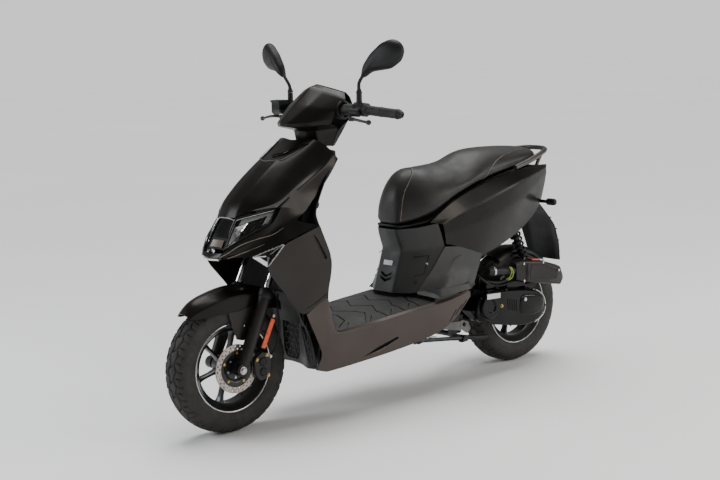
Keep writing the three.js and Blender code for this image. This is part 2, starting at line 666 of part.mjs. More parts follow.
add('fuel_tank', 'frame', loft([
  [[-76, 482, 572], [76, 482, 572], [58, 700, 622], [-58, 700, 622]],
  [[-90, 482, 704], [90, 482, 704], [70, 700, 728], [-70, 700, 728]],
]));

// ---------------------------------------------------------------- frame
const railPath = (side) => [
  [side * 40, -350, 350], [side * 58, -342, 288], [side * 84, -288, 254], [side * 100, -180, 248],
  [side * 104, 60, 262], [side * 108, 140, 300], [side * 118, 205, 400], [side * 122, 320, 512],
  [side * 116, 480, 552], [side * 100, 620, 600],
  [side * 74, 715, 645],
];
// Each rail ends in a hanger plate for the engine pivot and the centre stand.
const HANGER_INNER = 92;
const hangerOutline = [[106, 290], [180, 350], [300, 322], [330, 314], [330, 290], [300, 240],
  [288, 182], [268, 164],
  [248, 182], [236, 240], [150, 262], [106, 262]];
function frameRail(side) {
  const plate = slabX(hangerOutline, HANGER_INNER, HANGER_INNER + 6);
  const pin = rod([44, ENGINE_PIVOT[1], ENGINE_PIVOT[2]], [HANGER_INNER + 3, ENGINE_PIVOT[1],
    ENGINE_PIVOT[2]], 7);
  const rightHalf = join(bentTube(railPath(1), 12, 8, 22), plate, pin);
  return side > 0 ? rightHalf : mirrorX(rightHalf);
}
const standBracket = slabX([[70, 262], [116, 262], [102, 172], [78, 172]], 92, 98);
add('frame_rail_left', 'frame', join(frameRail(1), standBracket));
add('frame_rail_right', 'frame', frameRail(-1));
function frameNeck(grow = 0) {
  const head = rod(steerPoint(646), steerPoint(850), 24 + grow);
  const down = bentTube([steerPoint(790, -30), [0, -338, 660], [0, -345, 520], [0, -346, 420],
    [0, -348, 352]], 14 + grow, 10, 10);
  const foot = rod([-64, -348, 350], [64, -348, 350], 13 + grow, 12);
  return join(head, down, foot).subtract(rod(steerPoint(600), steerPoint(900), STEM_RADIUS + 1.2 - grow));
}
add('frame_neck', 'frame', frameNeck());
carve('frame_rail_left', frameNeck(GAP));
carve('frame_rail_right', frameNeck(GAP));

// ---------------------------------------------------------------- engine and rear end
const cvtOutline = (grow) => {
  const outline = [
    [346, 250], [362, 215], [400, 196], [470, 182], [520, 172], [590, 160], [650, 162], [700, 184],
    [716, 220],
    [704, 262], [660, 290], [590, 302], [500, 312], [410, 318], [364, 300],
  ];
  return outline.map(([y, z]) => [530 + (y - 530) * grow, 238 + (z - 238) * grow]);
};
add('cvt_cover', 'engine', join(
  slabX(cvtOutline(1), 112, 138),
  slabX(cvtOutline(0.93), 137, 147),
  rod([146, 409, 263], [156, 409, 263], 46, 24),
));
function engineCase() {
  const transmission = slabX(cvtOutline(1), 62, 111.6);
  const crankcase = block([-92, 350, 196], [62.5, 426, 322]);
  const fanCover = rod([-122, 408, 262], [-91, 408, 262], 64, 20, 70);
  const barrel = block([-42, 262, 226], [40, 351, 306]);
  const lugOutline = [[302, 284], [340, 280], [400, 316], [380, 330], [318, 316], [304, 304]];
  const pivotHole = rod([-80, ENGINE_PIVOT[1], ENGINE_PIVOT[2]],
    [80, ENGINE_PIVOT[1], ENGINE_PIVOT[2]], 7.5, 12);
  const lugs = join(slabX(lugOutline, 44, 58), slabX(lugOutline, -58, -44)).subtract(pivotHole);
  const shockLug = slabX([[650, 280], [716, 240], [704, 338], [684, 350], [664, 336]], 62, 66);
  const shockBolt = rod([64, SHOCK_LOW[1], SHOCK_LOW[2]], [96, SHOCK_LOW[1], SHOCK_LOW[2]], 5, 10);
  return join(transmission, crankcase, fanCover, barrel, lugs, shockLug, shockBolt);
}
add('engine_case', 'engine', engineCase());
add('airbox', 'matte', loft([
  [[106, 552, 338], [138, 552, 338], [138, 552, 400], [106, 552, 404]],
  [[106, 600, 322], [144, 600, 322], [144, 600, 405], [106, 600, 410]],
  [[106, 700, 304], [144, 700, 304], [144, 700, 392], [106, 700, 396]],
  [[106, 800, 284], [140, 806, 286], [140, 800, 356], [106, 792, 366]],
  [[108, 822, 298], [130, 826, 300], [130, 824, 322], [108, 820, 326]],
]).add(rod([124, 420, 388], [122, 556, 372], 17, 14)));
add('muffler', 'frame', join(
  loft([
    oval([-128, 494, 206], [26, 0, 0], [0, 0, 28]), oval([-132, 540, 228], [40, 0, 0], [0, -8, 50]),
    oval([-134, 760, 296], [40, 0, 0], [0, -12, 50]), oval([-134, 816, 314], [30, 0, 0], [0, -10, 36]),
  ]),
  bentTube([[-34, 290, 220], [-72, 292, 186], [-108, 340, 164], [-130, 430, 166],
    [-130, 500, 206]], 13, 8, 12),
));
carve('muffler', block([-44, 255, 222], [-20, 320, 300]));
function hugger() {
  const rows = [62, 80, 98, 116, 134].map((degrees) => {
    const angle = THREE.MathUtils.degToRad(degrees);
    const place = (radius, x) => [x, REAR_AXLE[1] - radius * Math.cos(angle),
      REAR_AXLE[2] + radius * Math.sin(angle)];
    return [place(229, 0), place(226, 32), place(216, 48), place(202, 54)];
  });
  return panel(bothSides(rows), REAR_AXLE, PANEL);
}
add('rear_hugger', 'matte', hugger());
add('rear_axle', 'steel', rod([56, REAR_AXLE[1], REAR_AXLE[2]],
  [-70, REAR_AXLE[1], REAR_AXLE[2]], 7.4, 12));

const shockAt = (t) => mix(SHOCK_TOP, SHOCK_LOW, t);
const shockEye = ([x, y, z], radius, bore) => rod([x - 9, y, z], [x + 9, y, z], radius, 14)
  .subtract(rod([x - 20, y, z], [x + 20, y, z], bore, 12));
add('shock_upper', 'frame', join(
  rod(shockAt(0.05), shockAt(0.58), 12, 12),
  rod(shockAt(0.07), shockAt(0.1), 21, 16),
).subtract(rod(shockAt(0.3), shockAt(0.7), 8.6, 12)).add(shockEye(SHOCK_TOP, 13, 5)));
add('shock_lower', 'steel', join(
  rod(shockAt(0.59), shockAt(0.94), 7, 12),
  rod(shockAt(0.82), shockAt(0.85), 21, 16),
).subtract(rod([40, SHOCK_LOW[1], SHOCK_LOW[2]], [100, SHOCK_LOW[1], SHOCK_LOW[2]], 8.5,
  12)).add(shockEye(SHOCK_LOW, 14, 8.5)));
add('shock_spring', 'frame', rod(shockAt(0.102), shockAt(0.818), 20.5, 16)
  .subtract(rod(shockAt(0), shockAt(1), 16, 16)));

// ---------------------------------------------------------------- rear end
add('plate_bracket', 'matte', join(
  panel(bothSides([
    [[0, 748, 640], [40, 746, 636], [62, 740, 628]],
    [[0, 786, 590], [48, 784, 588], [80, 772, 580]],
    [[0, 836, 520], [56, 834, 518], [92, 820, 512]],
    [[0, 858, 440], [56, 856, 440], [90, 846, 438]],
    [[0, 869, 366], [52, 868, 366], [80, 862, 368]],
  ]), [0, 0, 500], BRACKET_THICKNESS),
  rod([-112, 774, 606], [112, 774, 606], 6, 10),
  loft([oval([96, 774, 606], [0, 10, 0], [0, 0, 13], 8), oval([140, 778, 606], [0, 12, 0],
    [0, 0, 15], 8)]),
  loft([oval([-140, 778, 606], [0, 12, 0], [0, 0, 15], 8), oval([-96, 774, 606], [0, 10, 0],
    [0, 0, 13], 8)]),
));

// ---------------------------------------------------------------- stands and starter
const SIDE_STAND_PIVOT = [114, 90, 186];
const SIDE_STAND_AXIS = [-0.906, 0, -0.4226];
const alongStandAxis = (amount) => SIDE_STAND_PIVOT.map((value, i) =>
  value + SIDE_STAND_AXIS[i] * amount);
add('side_stand', 'frame', join(
  rod(alongStandAxis(-12), alongStandAxis(12), 10),
  bentTube([SIDE_STAND_PIVOT, [115, 150, 179], [117, 220, 171], [122, 292, 161]], 7.5, 8, 8),
  slabX([[276, 150], [304, 152], [310, 170], [290, 174]], 113, 134),
));
add('centre_stand', 'frame', join(
  rod([-91.6, 268, 176], [91.6, 268, 176], 10, 12),
  bentTube([[50, 268, 176], [54, 330, 152], [68, 410, 136], [74, 460, 132]], 8.5, 8, 8),
  bentTube([[-50, 268, 176], [-54, 330, 152], [-68, 410, 136], [-74, 460, 132]], 8.5, 8, 8),
));

// ---------------------------------------------------------------- clearance cuts between neighbours
for (const [side, flip] of [['left', (solid) => solid], ['right', mirrorX]]) {
  carve(`side_panel_${side}`, flip(tail(GAP)), tunnel(GAP));
  carve(`side_skirt_${side}`, splash(GAP));
}

// ---------------------------------------------------------------- finished group
const scooter = new THREE.Group();
scooter.name = 'moped_scooter';
for (const [name, solid] of Object.entries(solids)) {
  const { vertProperties, triVerts, numProp } = solid.getMesh();
  const geometry = new THREE.BufferGeometry();
  geometry.setAttribute('position', new THREE.BufferAttribute(new Float32Array(vertProperties), numProp));
  geometry.setIndex(new THREE.BufferAttribute(new Uint32Array(triVerts), 1));
  geometry.computeVertexNormals();
  const mesh = new THREE.Mesh(geometry, new THREE.MeshStandardMaterial(FINISH[looks[name]]));
  mesh.name = name;
  scooter.add(mesh);
}
export default scooter;
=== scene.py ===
"""Looks for a 50 cc moped scooter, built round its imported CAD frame.

Shapes are given in millimetres in the frame's axes (+Z up, front wheel along -Y, rider's left +X) and
are scaled to metres once, by MM. Most panels pass through the control points of the CAD panels they
stand for; finer trim is laid on them.
"""
import math

import bmesh
import bpy
import numpy as np
from mathutils import Matrix, Vector
from mathutils.bvhtree import BVHTree


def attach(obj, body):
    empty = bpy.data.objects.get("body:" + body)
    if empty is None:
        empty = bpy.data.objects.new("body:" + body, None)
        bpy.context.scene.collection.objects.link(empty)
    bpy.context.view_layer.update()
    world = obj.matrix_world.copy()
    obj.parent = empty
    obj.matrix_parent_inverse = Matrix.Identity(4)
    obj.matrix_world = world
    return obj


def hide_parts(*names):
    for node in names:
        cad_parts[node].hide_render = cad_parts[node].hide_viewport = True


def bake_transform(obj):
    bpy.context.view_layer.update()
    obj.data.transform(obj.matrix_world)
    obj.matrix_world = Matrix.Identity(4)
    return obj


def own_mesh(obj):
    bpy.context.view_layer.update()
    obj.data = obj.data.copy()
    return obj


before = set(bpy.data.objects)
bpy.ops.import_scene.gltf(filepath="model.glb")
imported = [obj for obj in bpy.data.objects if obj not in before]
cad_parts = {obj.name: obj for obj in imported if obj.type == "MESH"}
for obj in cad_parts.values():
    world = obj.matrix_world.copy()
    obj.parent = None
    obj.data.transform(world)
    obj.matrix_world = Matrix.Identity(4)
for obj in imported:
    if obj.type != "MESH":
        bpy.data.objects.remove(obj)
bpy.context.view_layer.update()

MM = 0.001
RAKE = math.radians(26.1)
BAR_HEIGHT, BAR_CENTRE_Y, FORK_OFFSET, FORK_SPREAD = 1010, -220, 42, 81
TYRE_RADIUS = 217
FRONT_AXLE = Vector((0, -655, TYRE_RADIUS))
REAR_AXLE = Vector((0, 655, TYRE_RADIUS))
SIDES = (("left", 1), ("right", -1))
HALF_WIDTH, HEIGHT = 374, 1246
CREASE = 0.9
VOXEL, SWELL_CAP, CLOTH_PRESSURE, CLOTH_STEPS = 0.006, 0.010, 4, 20


# ------------------------------------------------------------------ materials
class Nodes:
    """A node material under construction; its texture space is the piece's own, in metres."""

    def __init__(self, name):
        self.material = bpy.data.materials.new(name)
        self.material.use_nodes = True
        self.tree = self.material.node_tree
        self.shader = self.tree.nodes["Principled BSDF"]
        self.coords = self.tree.nodes.new("ShaderNodeTexCoord").outputs["Object"]

    def add(self, kind, output=0, **sockets):
        node = self.tree.nodes.new(kind)
        for key, value in sockets.items():
            if hasattr(node, key) and key not in node.inputs:
                setattr(node, key, value)
        for key, value in sockets.items():
            name = key.replace("_", " ")
            if name in node.inputs:
                if isinstance(value, bpy.types.NodeSocket):
                    self.tree.links.new(value, node.inputs[name])
                else:
                    node.inputs[name].default_value = value
        return node.outputs[output]

    def noise(self, scale, detail=3.0):
        return self.add("ShaderNodeTexNoise", Vector=self.coords, Scale=scale, Detail=detail)

    def blend(self, factor, low, high):
        ramp = self.tree.nodes.new("ShaderNodeValToRGB")
        ramp.color_ramp.elements[0].position = 0.3
        ramp.color_ramp.elements[1].position = 0.7
        ramp.color_ramp.elements[0].color = (*low, 1)
        ramp.color_ramp.elements[1].color = (*high, 1)
        self.tree.links.new(factor, ramp.inputs["Fac"])
        return ramp.outputs["Color"]

    def spread(self, factor, low, high):
        node = self.tree.nodes.new("ShaderNodeMapRange")
        self.tree.links.new(factor, node.inputs["Value"])
        for key, value in (("From Min", 0.3), ("From Max", 0.7), ("To Min", low), ("To Max", high)):
            node.inputs[key].default_value = value
        return node.outputs["Result"]

    def into(self, socket, value):
        if isinstance(value, bpy.types.NodeSocket):
            self.tree.links.new(value, self.shader.inputs[socket])
        else:
            self.shader.inputs[socket].default_value = value

    def bump(self, height, depth):
        self.into("Normal", self.add("ShaderNodeBump", output="Normal", Height=height, Distance=depth,
                                     Strength=1.0))


def surface(name, dark, light, rough, metallic=0.0, patch=7.0, grain=0.0, depth=0.0, coat=0.0, alpha=1.0,
            drift=0.06, gloss=0.5):
    """Paint, plastic or metal: colour and gloss drift in soft patches over a fine raised grain."""
    nodes = Nodes(name)
    patches = nodes.noise(patch)
    nodes.into("Base Color", nodes.blend(patches, dark, light))
    nodes.into("Roughness", nodes.spread(nodes.noise(patch * 3.1), max(rough - drift, 0.02), rough + drift))
    nodes.into("Metallic", metallic)
    nodes.into("Coat Weight", coat)
    nodes.into("Coat Roughness", 0.12)
    nodes.into("Specular IOR Level", gloss)
    nodes.into("Alpha", alpha)
    if grain:
        nodes.bump(nodes.noise(grain, 2.0), depth)
    return nodes.material


def grey(value, warm=0.0):
    return (value * (1 + warm), value, value * (1 - warm))


PAINT = surface("paint_brown_black", (0.0062, 0.0048, 0.0038), (0.0092, 0.0072, 0.0058), 0.33, 0.3, 5, 2600,
                2e-5, 0.10, gloss=0.2)
# Painted shade: a darker copy of the bronze for the outer leg shields, darkened because they face away from the
# light; the mudguard flaps, the intake's insert and the shield folds take the same charcoal.
CHARCOAL_AND_SHADED_BRONZE = surface("paint_charcoal_and_shaded_bronze", (0.017, 0.0135, 0.0118), (0.022, 0.0178, 0.0156), 0.42, 0.3, 6, 2400,
                       2e-5, 0.08, gloss=0.3)
BRONZE = surface("paint_bronze", (0.052, 0.040, 0.034), (0.066, 0.052, 0.045), 0.36, 0.5, 5, 2400, 2e-5, 0.12,
                 gloss=0.35)
# Painted highlight: a light beige paint for thin lines along the chin's ridges and the intake's edges, standing
# for the light those edges catch; the position light's lens takes the same beige.
HIGHLIGHT_AND_LENS_BEIGE = surface("painted_highlight_and_lens_beige", (0.15, 0.125, 0.105), (0.20, 0.17, 0.145), 0.32, 0.6, 5, 2400, 2e-5)
PLASTIC = surface("plastic_grey", grey(0.019), grey(0.027, 0.02), 0.48, 0, 8, 800, 9e-5, gloss=0.4)
BLACK = surface("plastic_black", grey(0.005), grey(0.009), 0.5, 0, 9, 900, 8e-5, gloss=0.3)
FLOOR = surface("rubber_mat", grey(0.020, 0.03), grey(0.030, 0.03), 0.62, 0, 9, 700, 1.2e-4, gloss=0.35)
TYRE = surface("rubber_tyre", grey(0.010, 0.05), grey(0.021, 0.10), 0.72, 0, 22, 500, 1.2e-4)
GRIP = surface("rubber_grip", grey(0.010), grey(0.017, 0.05), 0.62, 0, 30, 1200, 8e-5)
WHEEL = surface("metal_wheel_black", grey(0.008), grey(0.014), 0.36, 0.4, 9, 1500, 3e-5, 0.2)
FRAME = surface("metal_frame_black", grey(0.009), grey(0.015), 0.45, 0.3, 9, 900, 5e-5)
FORK = surface("metal_fork_brown", (0.013, 0.011, 0.0095), (0.020, 0.017, 0.015), 0.42, 0.5, 12, 1500, 3e-5)
ENGINE = surface("paint_engine_gloss", grey(0.0025), grey(0.0045), 0.2, 0.2, 9, 600, 4e-5, 0.10, gloss=0.18)
CASTING = surface("metal_casting", grey(0.10, 0.03), grey(0.15, 0.03), 0.45, 0.8, 14, 700, 1e-4)
DISC = surface("metal_disc", (0.33, 0.28, 0.255), (0.43, 0.375, 0.345), 0.36, 0.85, 30, 1800, 3e-5)
ZINC = surface("metal_zinc", grey(0.42), grey(0.56), 0.28, 0.95, 40, 900, 3e-5)
CHROME = surface("metal_chrome", grey(0.66), grey(0.74), 0.09, 1.0, 20, 900, 3e-6, 0, 1, 0.03)
ALLOY = surface("metal_lever", grey(0.030), grey(0.045), 0.32, 0.6, 30, 900, 3e-5)
GOLD = surface("metal_gold_zinc", (0.40, 0.27, 0.08), (0.52, 0.38, 0.14), 0.32, 0.9, 60, 900, 3e-5)
GLASS = surface("lens_clear_cover", grey(0.02), grey(0.03), 0.04, 0, 9, 0, 0, 0, 0.12, 0.02)
FROST = surface("lens_frosted_band", grey(0.26, 0.02), grey(0.38, 0.02), 0.4, 0.1, 160, 900, 1.5e-4)
AMBER = surface("reflector_amber", (0.55, 0.055, 0.003), (0.70, 0.085, 0.005), 0.35, 0, 120, 500, 3e-4, 0.15)
RED = surface("lens_red", (0.22, 0.006, 0.008), (0.32, 0.010, 0.012), 0.14, 0, 60, 300, 2e-4, 0.5)
MIRROR = surface("mirror_glass", grey(0.78), grey(0.82), 0.04, 1.0, 9, 0, 0, 0, 1, 0.02)
THREAD = surface("stitch_thread", (0.42, 0.33, 0.24), (0.55, 0.45, 0.34), 0.8, 0, 300, 4000, 1e-4)
LABEL = surface("label_blank", grey(0.60), grey(0.68), 0.4, 0, 60, 1500, 1e-5)
LABEL_RED = surface("label_blank_red", (0.45, 0.06, 0.05), (0.55, 0.08, 0.07), 0.45, 0, 60, 1500, 1e-5)
WIRE = surface("wire_yellow_green", (0.10, 0.30, 0.05), (0.45, 0.40, 0.04), 0.45, 0, 90, 900, 2e-5)
SCREEN = surface("dash_display", (0.012, 0.016, 0.016), (0.020, 0.026, 0.024), 0.08, 0, 30, 0, 0, 0.8, 1,
                 0.02)


def vinyl_material():
    """Seat cover: fine leather cells, a slow drift of wear and a soft sheen."""
    nodes = Nodes("vinyl_seat")
    nodes.into("Base Color", nodes.blend(nodes.noise(9), (0.0095, 0.0085, 0.0075), (0.0145, 0.0128, 0.0112)))
    nodes.into("Roughness", nodes.spread(nodes.noise(24), 0.40, 0.54))
    nodes.into("Specular IOR Level", 0.4)
    cells = nodes.add("ShaderNodeTexVoronoi", feature="DISTANCE_TO_EDGE", Vector=nodes.coords, Scale=560.0)
    nodes.bump(cells, 2.2e-4)
    return nodes.material


VINYL = vinyl_material()


# ------------------------------------------------------------------ pieces from meshes
def place(name, mesh, material, body, hides=()):
    """Puts a mesh on a body. When body is instead a tuple (one, other, start, end) in millimetres, its parts are
    not used and the mesh is put on no body.
    """
    obj = bpy.data.objects.new(name, mesh)
    bpy.context.scene.collection.objects.link(obj)
    mesh.materials.clear()
    mesh.materials.append(material)
    if isinstance(body, str):
        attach(obj, body)
    else:
        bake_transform(obj)
    if hides:
        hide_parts(*hides)
    return obj


def bevelled(obj, width, angle=40):
    """Rounds the edges sharper than angle."""
    bevel = obj.modifiers.new("Bevel", "BEVEL")
    bevel.width = width * MM
    bevel.segments = 2
    bevel.limit_method = "ANGLE"
    bevel.angle_limit = math.radians(angle)
    bevel.harden_normals = True
    return obj


def build(name, parts, material, body, hides=(), sharp=38, bevel=0.0, level=0):
    """One piece from parts, each a function that adds closed shapes in millimetres to a bmesh."""
    bm = bmesh.new()
    for part in parts:
        part(bm)
    bmesh.ops.remove_doubles(bm, verts=bm.verts, dist=1e-3)
    bmesh.ops.recalc_face_normals(bm, faces=bm.faces)
    bmesh.ops.scale(bm, vec=(MM, MM, MM), verts=bm.verts)
    mesh = bpy.data.meshes.new(name)
    bm.to_mesh(mesh)
    bm.free()
    mesh.shade_smooth()
    mesh.set_sharp_from_angle(angle=math.radians(sharp))
    obj = place(name, mesh, material, body, hides)
    if level:
        smooth = obj.modifiers.new("Subdivision", "SUBSURF")
        smooth.levels = smooth.render_levels = level
    if bevel:
        bevelled(obj, bevel)
    return obj


def loft(rings, caps=True):
    """A skin over rings that have the same number of points, closed at both ends by caps."""
    def part(bm):
        made = [[bm.verts.new(p) for p in ring] for ring in rings]
        count = len(rings[0])
        for a, b in zip(made, made[1:]):
            for j in range(count):
                k = (j + 1) % count
                bm.faces.new((a[j], a[k], b[k], b[j]))
        if caps:
            bm.faces.new(made[0][::-1])
            bm.faces.new(made[-1])
    return part


def circle(centre, u, v, count=16):
    """An ellipse about centre, its half-axes u and v."""
    steps = [2 * math.pi * i / count for i in range(count)]
    return [Vector(centre) + Vector(u) * math.cos(a) + Vector(v) * math.sin(a) for a in steps]


def smooth_path(points, steps=8):
    """A Catmull-Rom curve through the points."""
    pts = [Vector(p) for p in points]
    pts = [2 * pts[0] - pts[1], *pts, 2 * pts[-1] - pts[-2]]
    out = []
    for a, b, c, d in zip(pts, pts[1:], pts[2:], pts[3:]):
        for i in range(steps):
            t = i / steps
            out.append(0.5 * (2 * b + (c - a) * t + (2 * a - 5 * b + 4 * c - d) * t**2
                              + (3 * b - a - 3 * c + d) * t**3))
    return [*out, pts[-2]]


def tube(points, radius, sides=12, steps=8, flat=1.0):
    """A bent bar along a smooth curve. radius is one number, or several spread evenly along the bar."""
    path = smooth_path(points, steps) if steps else [Vector(p) for p in points]
    count = len(path)
    radii = radius if hasattr(radius, "__len__") else (radius, radius)
    normal = None
    rings = []
    for i, point in enumerate(path):
        ahead = (path[min(i + 1, count - 1)] - path[max(i - 1, 0)]).normalized()
        if normal is None:
            normal = ahead.orthogonal().normalized()
        normal = (normal - ahead * normal.dot(ahead)).normalized()
        t = i / (count - 1) * (len(radii) - 1)
        k = min(int(t), len(radii) - 2)
        size = radii[k] + (radii[k + 1] - radii[k]) * (t - k)
        rings.append(circle(point, normal * size, ahead.cross(normal) * size * flat, sides))
    return loft(rings)


def rod(a, b, radius, sides=24):
    """A straight round bar."""
    return tube([a, b], (radius, radius), sides, 0)


def stack(a, b, stages, sides=28):
    """A turned bar from a to b; stages are (share of the length, radius)."""
    a, b = Vector(a), Vector(b)
    along = (b - a).normalized()
    u = along.orthogonal().normalized()
    v = along.cross(u)
    return loft([circle(a.lerp(b, t), u * r, v * r, sides) for t, r in stages])


def turned(profile, centre, segments=72):
    """A ring or disc about the X axis; profile points are (radius, x)."""
    def part(bm):
        rings = []
        for radius, x in profile:
            at = Vector(centre) + Vector((x, 0, 0))
            rings.append([bm.verts.new(p) for p in circle(at, (0, radius, 0), (0, 0, radius), segments)])
        for a, b in zip(rings, [*rings[1:], rings[0]]):
            for j in range(segments):
                k = (j + 1) % segments
                bm.faces.new((a[j], a[k], b[k], b[j]))
    return part


def slab(outline, low, high, axis="x"):
    """A flat outline pushed from low to high along an axis."""
    def at(p, depth):
        if axis == "x":
            return (depth, p[0], p[1])
        if axis == "y":
            return (p[0], depth, p[1])
        return (p[0], p[1], depth)
    return loft([[at(p, low) for p in outline], [at(p, high) for p in outline]])


def box(low, high):
    (x0, y0, z0), (x1, y1, z1) = low, high
    return slab([(y0, z0), (y1, z0), (y1, z1), (y0, z1)], x0, x1)


def rounded(outline, radius, steps=4):
    """The outline with its corners rounded."""
    pts = [Vector(p) for p in outline]
    out = []
    for i, corner in enumerate(pts):
        before, after = pts[i - 1], pts[(i + 1) % len(pts)]
        reach_a = min(radius, (before - corner).length * 0.45)
        reach_b = min(radius, (after - corner).length * 0.45)
        start = corner + (before - corner).normalized() * reach_a
        end = corner + (after - corner).normalized() * reach_b
        for k in range(steps + 1):
            t = k / steps
            out.append(start * (1 - t) ** 2 + corner * 2 * t * (1 - t) + end * t**2)
    return out


def bolt(at, direction, radius=5, height=4, sides=6):
    """A washer with a head on it; six sides make a hexagon, more make a round head."""
    at, direction = Vector(at), Vector(direction).normalized()
    washer = rod(at, at + direction * height * 0.3, radius * 1.35, 20)
    head = stack(at, at + direction * height, [(0, radius), (0.8, radius), (1, radius * 0.8)], sides)

    def part(bm):
        washer(bm)
        head(bm)
    return part


def both_sides(rows):
    """Rows given for the left half from the centre line outwards, made whole."""
    return [[(-x, y, z) for x, y, z in reversed(row[1:])] + list(row) for row in rows]


def flipped(points, side):
    return [(side * x, y, z) for x, y, z in points]


def settle(obj):
    """Replaces a piece's mesh by what its modifiers make of it."""
    bpy.context.view_layer.update()
    done = obj.evaluated_get(bpy.context.evaluated_depsgraph_get())
    mesh = bpy.data.meshes.new_from_object(done)
    obj.modifiers.clear()
    obj.data = mesh


def pull_to_net(obj):
    """Moves the control points until the smooth surface passes through the points first given."""
    targets = [v.co.copy() for v in obj.data.vertices]
    for _ in range(5):
        obj.update_tag()
        bpy.context.view_layer.update()
        smooth = obj.evaluated_get(bpy.context.evaluated_depsgraph_get()).data
        shift = [target - smooth.vertices[i].co for i, target in enumerate(targets)]
        for vertex, move in zip(obj.data.vertices, shift):
            vertex.co += move
        obj.data.update()


def shell(name, rows, inside, material, body, hides=(), thickness=3.0, soft=0.3, hard_rows=(),
          hard_columns=(),
          level=3, cut=None, rim=0.9):
    """A moulded panel through a control net: smooth between its creases, thickened inwards, its rim rounded."""
    bm = bmesh.new()
    grid = [[bm.verts.new(Vector(p) * MM) for p in row] for row in rows]
    for a, b in zip(grid, grid[1:]):
        for j in range(len(a) - 1):
            bm.faces.new((a[j], b[j], b[j + 1], a[j + 1]))
    bm.normal_update()
    centre = Vector(inside) * MM
    if sum(f.normal.dot(f.calc_center_median() - centre) for f in bm.faces) < 0:
        bmesh.ops.reverse_faces(bm, faces=bm.faces)
    crease = bm.edges.layers.float.new("crease_edge")
    for edge in bm.edges:
        edge[crease] = soft
    for i in hard_rows:
        for a, b in zip(grid[i], grid[i][1:]):
            bm.edges.get((a, b))[crease] = CREASE
    for j in hard_columns:
        for a, b in zip(grid, grid[1:]):
            bm.edges.get((a[j], b[j]))[crease] = CREASE
    mesh = bpy.data.meshes.new(name)
    bm.to_mesh(mesh)
    bm.free()
    mesh.shade_smooth()
    obj = place(name, mesh, material, body, hides)
    smooth = obj.modifiers.new("Subdivision", "SUBSURF")
    smooth.levels = smooth.render_levels = level
    smooth.boundary_smooth = "PRESERVE_CORNERS"
    pull_to_net(obj)
    thick = obj.modifiers.new("Solidify", "SOLIDIFY")
    thick.thickness = thickness * MM
    thick.offset = -1
    if cut:
        carve(obj, cut)
    obj.data.set_sharp_from_angle(angle=math.radians(50))
    if rim:
        bevelled(obj, rim, 60)
    return obj


def carve(obj, parts):
    """Cuts closed shapes out of a piece."""
    cutter = build(obj.name + "_cutter", parts, BLACK, "chassis")
    difference = obj.modifiers.new("Boolean", "BOOLEAN")
    difference.operation = "DIFFERENCE"
    difference.solver = "EXACT"
    difference.use_self = True
    difference.object = cutter
    settle(obj)
    bpy.data.objects.remove(cutter)


def finish_node(name, material):
    """A CAD node that stays in view takes a finer material."""
    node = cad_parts[name]
    node.data.materials.clear()
    node.data.materials.append(material)


def steer_point(z, forward=0.0, x=0.0):
    """The point at height z on the steering axis, pushed forward and sideways."""
    y = BAR_CENTRE_Y - (BAR_HEIGHT - z) * math.tan(RAKE)
    return Vector((x, y - forward / math.cos(RAKE), z))


# ------------------------------------------------------------------ wheels
def tread_depth(around, across):
    """How deep the tread is cut, from 0 to 1: zigzag grooves joined by slanted ones, open at the shoulders."""
    side = np.sign(across)
    reach = np.abs(across)
    phase = around + 0.5 * (side > 0)

    def wave(value):
        return 4 * np.abs(value - np.floor(value + 0.5)) - 1

    def groove(distance, width):
        return np.clip(1.4 - distance / width, 0, 1)

    centre = groove(np.abs(across - 0.10 * wave(around)), 0.05)
    outer = groove(np.abs(reach - (0.50 + 0.09 * wave(phase))), 0.045)
    slant = (phase + 0.55 * reach) % 1.0
    link = groove(np.abs(slant - 0.32), 0.075) * (reach < 0.52) * (reach > 0.08)
    shoulder = groove(np.abs((phase - 0.35 * reach) % 1.0 - 0.22), 0.085) * (reach > 0.5) * (reach < 0.93)
    nick = groove(np.abs((phase - 0.35 * reach) % 1.0 - 0.72), 0.06) * (reach > 0.62) * (reach < 0.86)
    return np.clip(np.maximum.reduce([centre, outer, link, shoulder, nick]), 0, 1)


def tyre(name, centre, body, node):
    """A block-tread tyre: its section turned round the axle, with the grooves cut into the grid."""
    section = smooth_path([(146, 43, 0), (154, 47, 0), (166, 50, 0), (182, 51, 0), (197, 47.5, 0),
                           (207, 39, 0),
                           (213, 27, 0), (216.2, 14, 0), (217, 0, 0)], 6)
    half = [(p[0], p[1]) for p in section]
    profile = np.array(half + [(r, -x) for r, x in reversed(half[:-1])] + [(150, -38), (150, 38)])
    turns, pitches = 840, 27
    angle = np.linspace(0, 2 * np.pi, turns, endpoint=False)[:, None]
    radius, across = profile[None, :, 0], profile[None, :, 1]
    share = across / 50.0
    on_tread = (radius > 192) * 1.0
    cut = tread_depth(angle / (2 * np.pi) * pitches, share) * on_tread * 5.0
    ribs = 0.7 * np.exp(-((radius - 166) / 1.6) ** 2) + 0.7 * np.exp(-((radius - 186) / 1.2) ** 2)
    r = radius - cut
    x = np.broadcast_to(across + np.sign(across) * ribs, r.shape)
    x = np.clip(x, -51, 51)
    points = np.stack([x, r * np.cos(angle), r * np.sin(angle)], -1) + np.array(centre)
    count = profile.shape[0]
    i, j = np.meshgrid(np.arange(turns), np.arange(count), indexing="ij")
    a, b = i * count + j, ((i + 1) % turns) * count + j
    c, d = ((i + 1) % turns) * count + (j + 1) % count, i * count + (j + 1) % count
    faces = np.stack([a, b, c, d], -1).reshape(-1, 4)
    mesh = bpy.data.meshes.new(name)
    mesh.from_pydata((points.reshape(-1, 3) * MM).tolist(), [], faces.tolist())
    mesh.update()
    mesh.shade_smooth()
    mesh.set_sharp_from_angle(angle=math.radians(35))
    place(name, mesh, TYRE, body, [node])


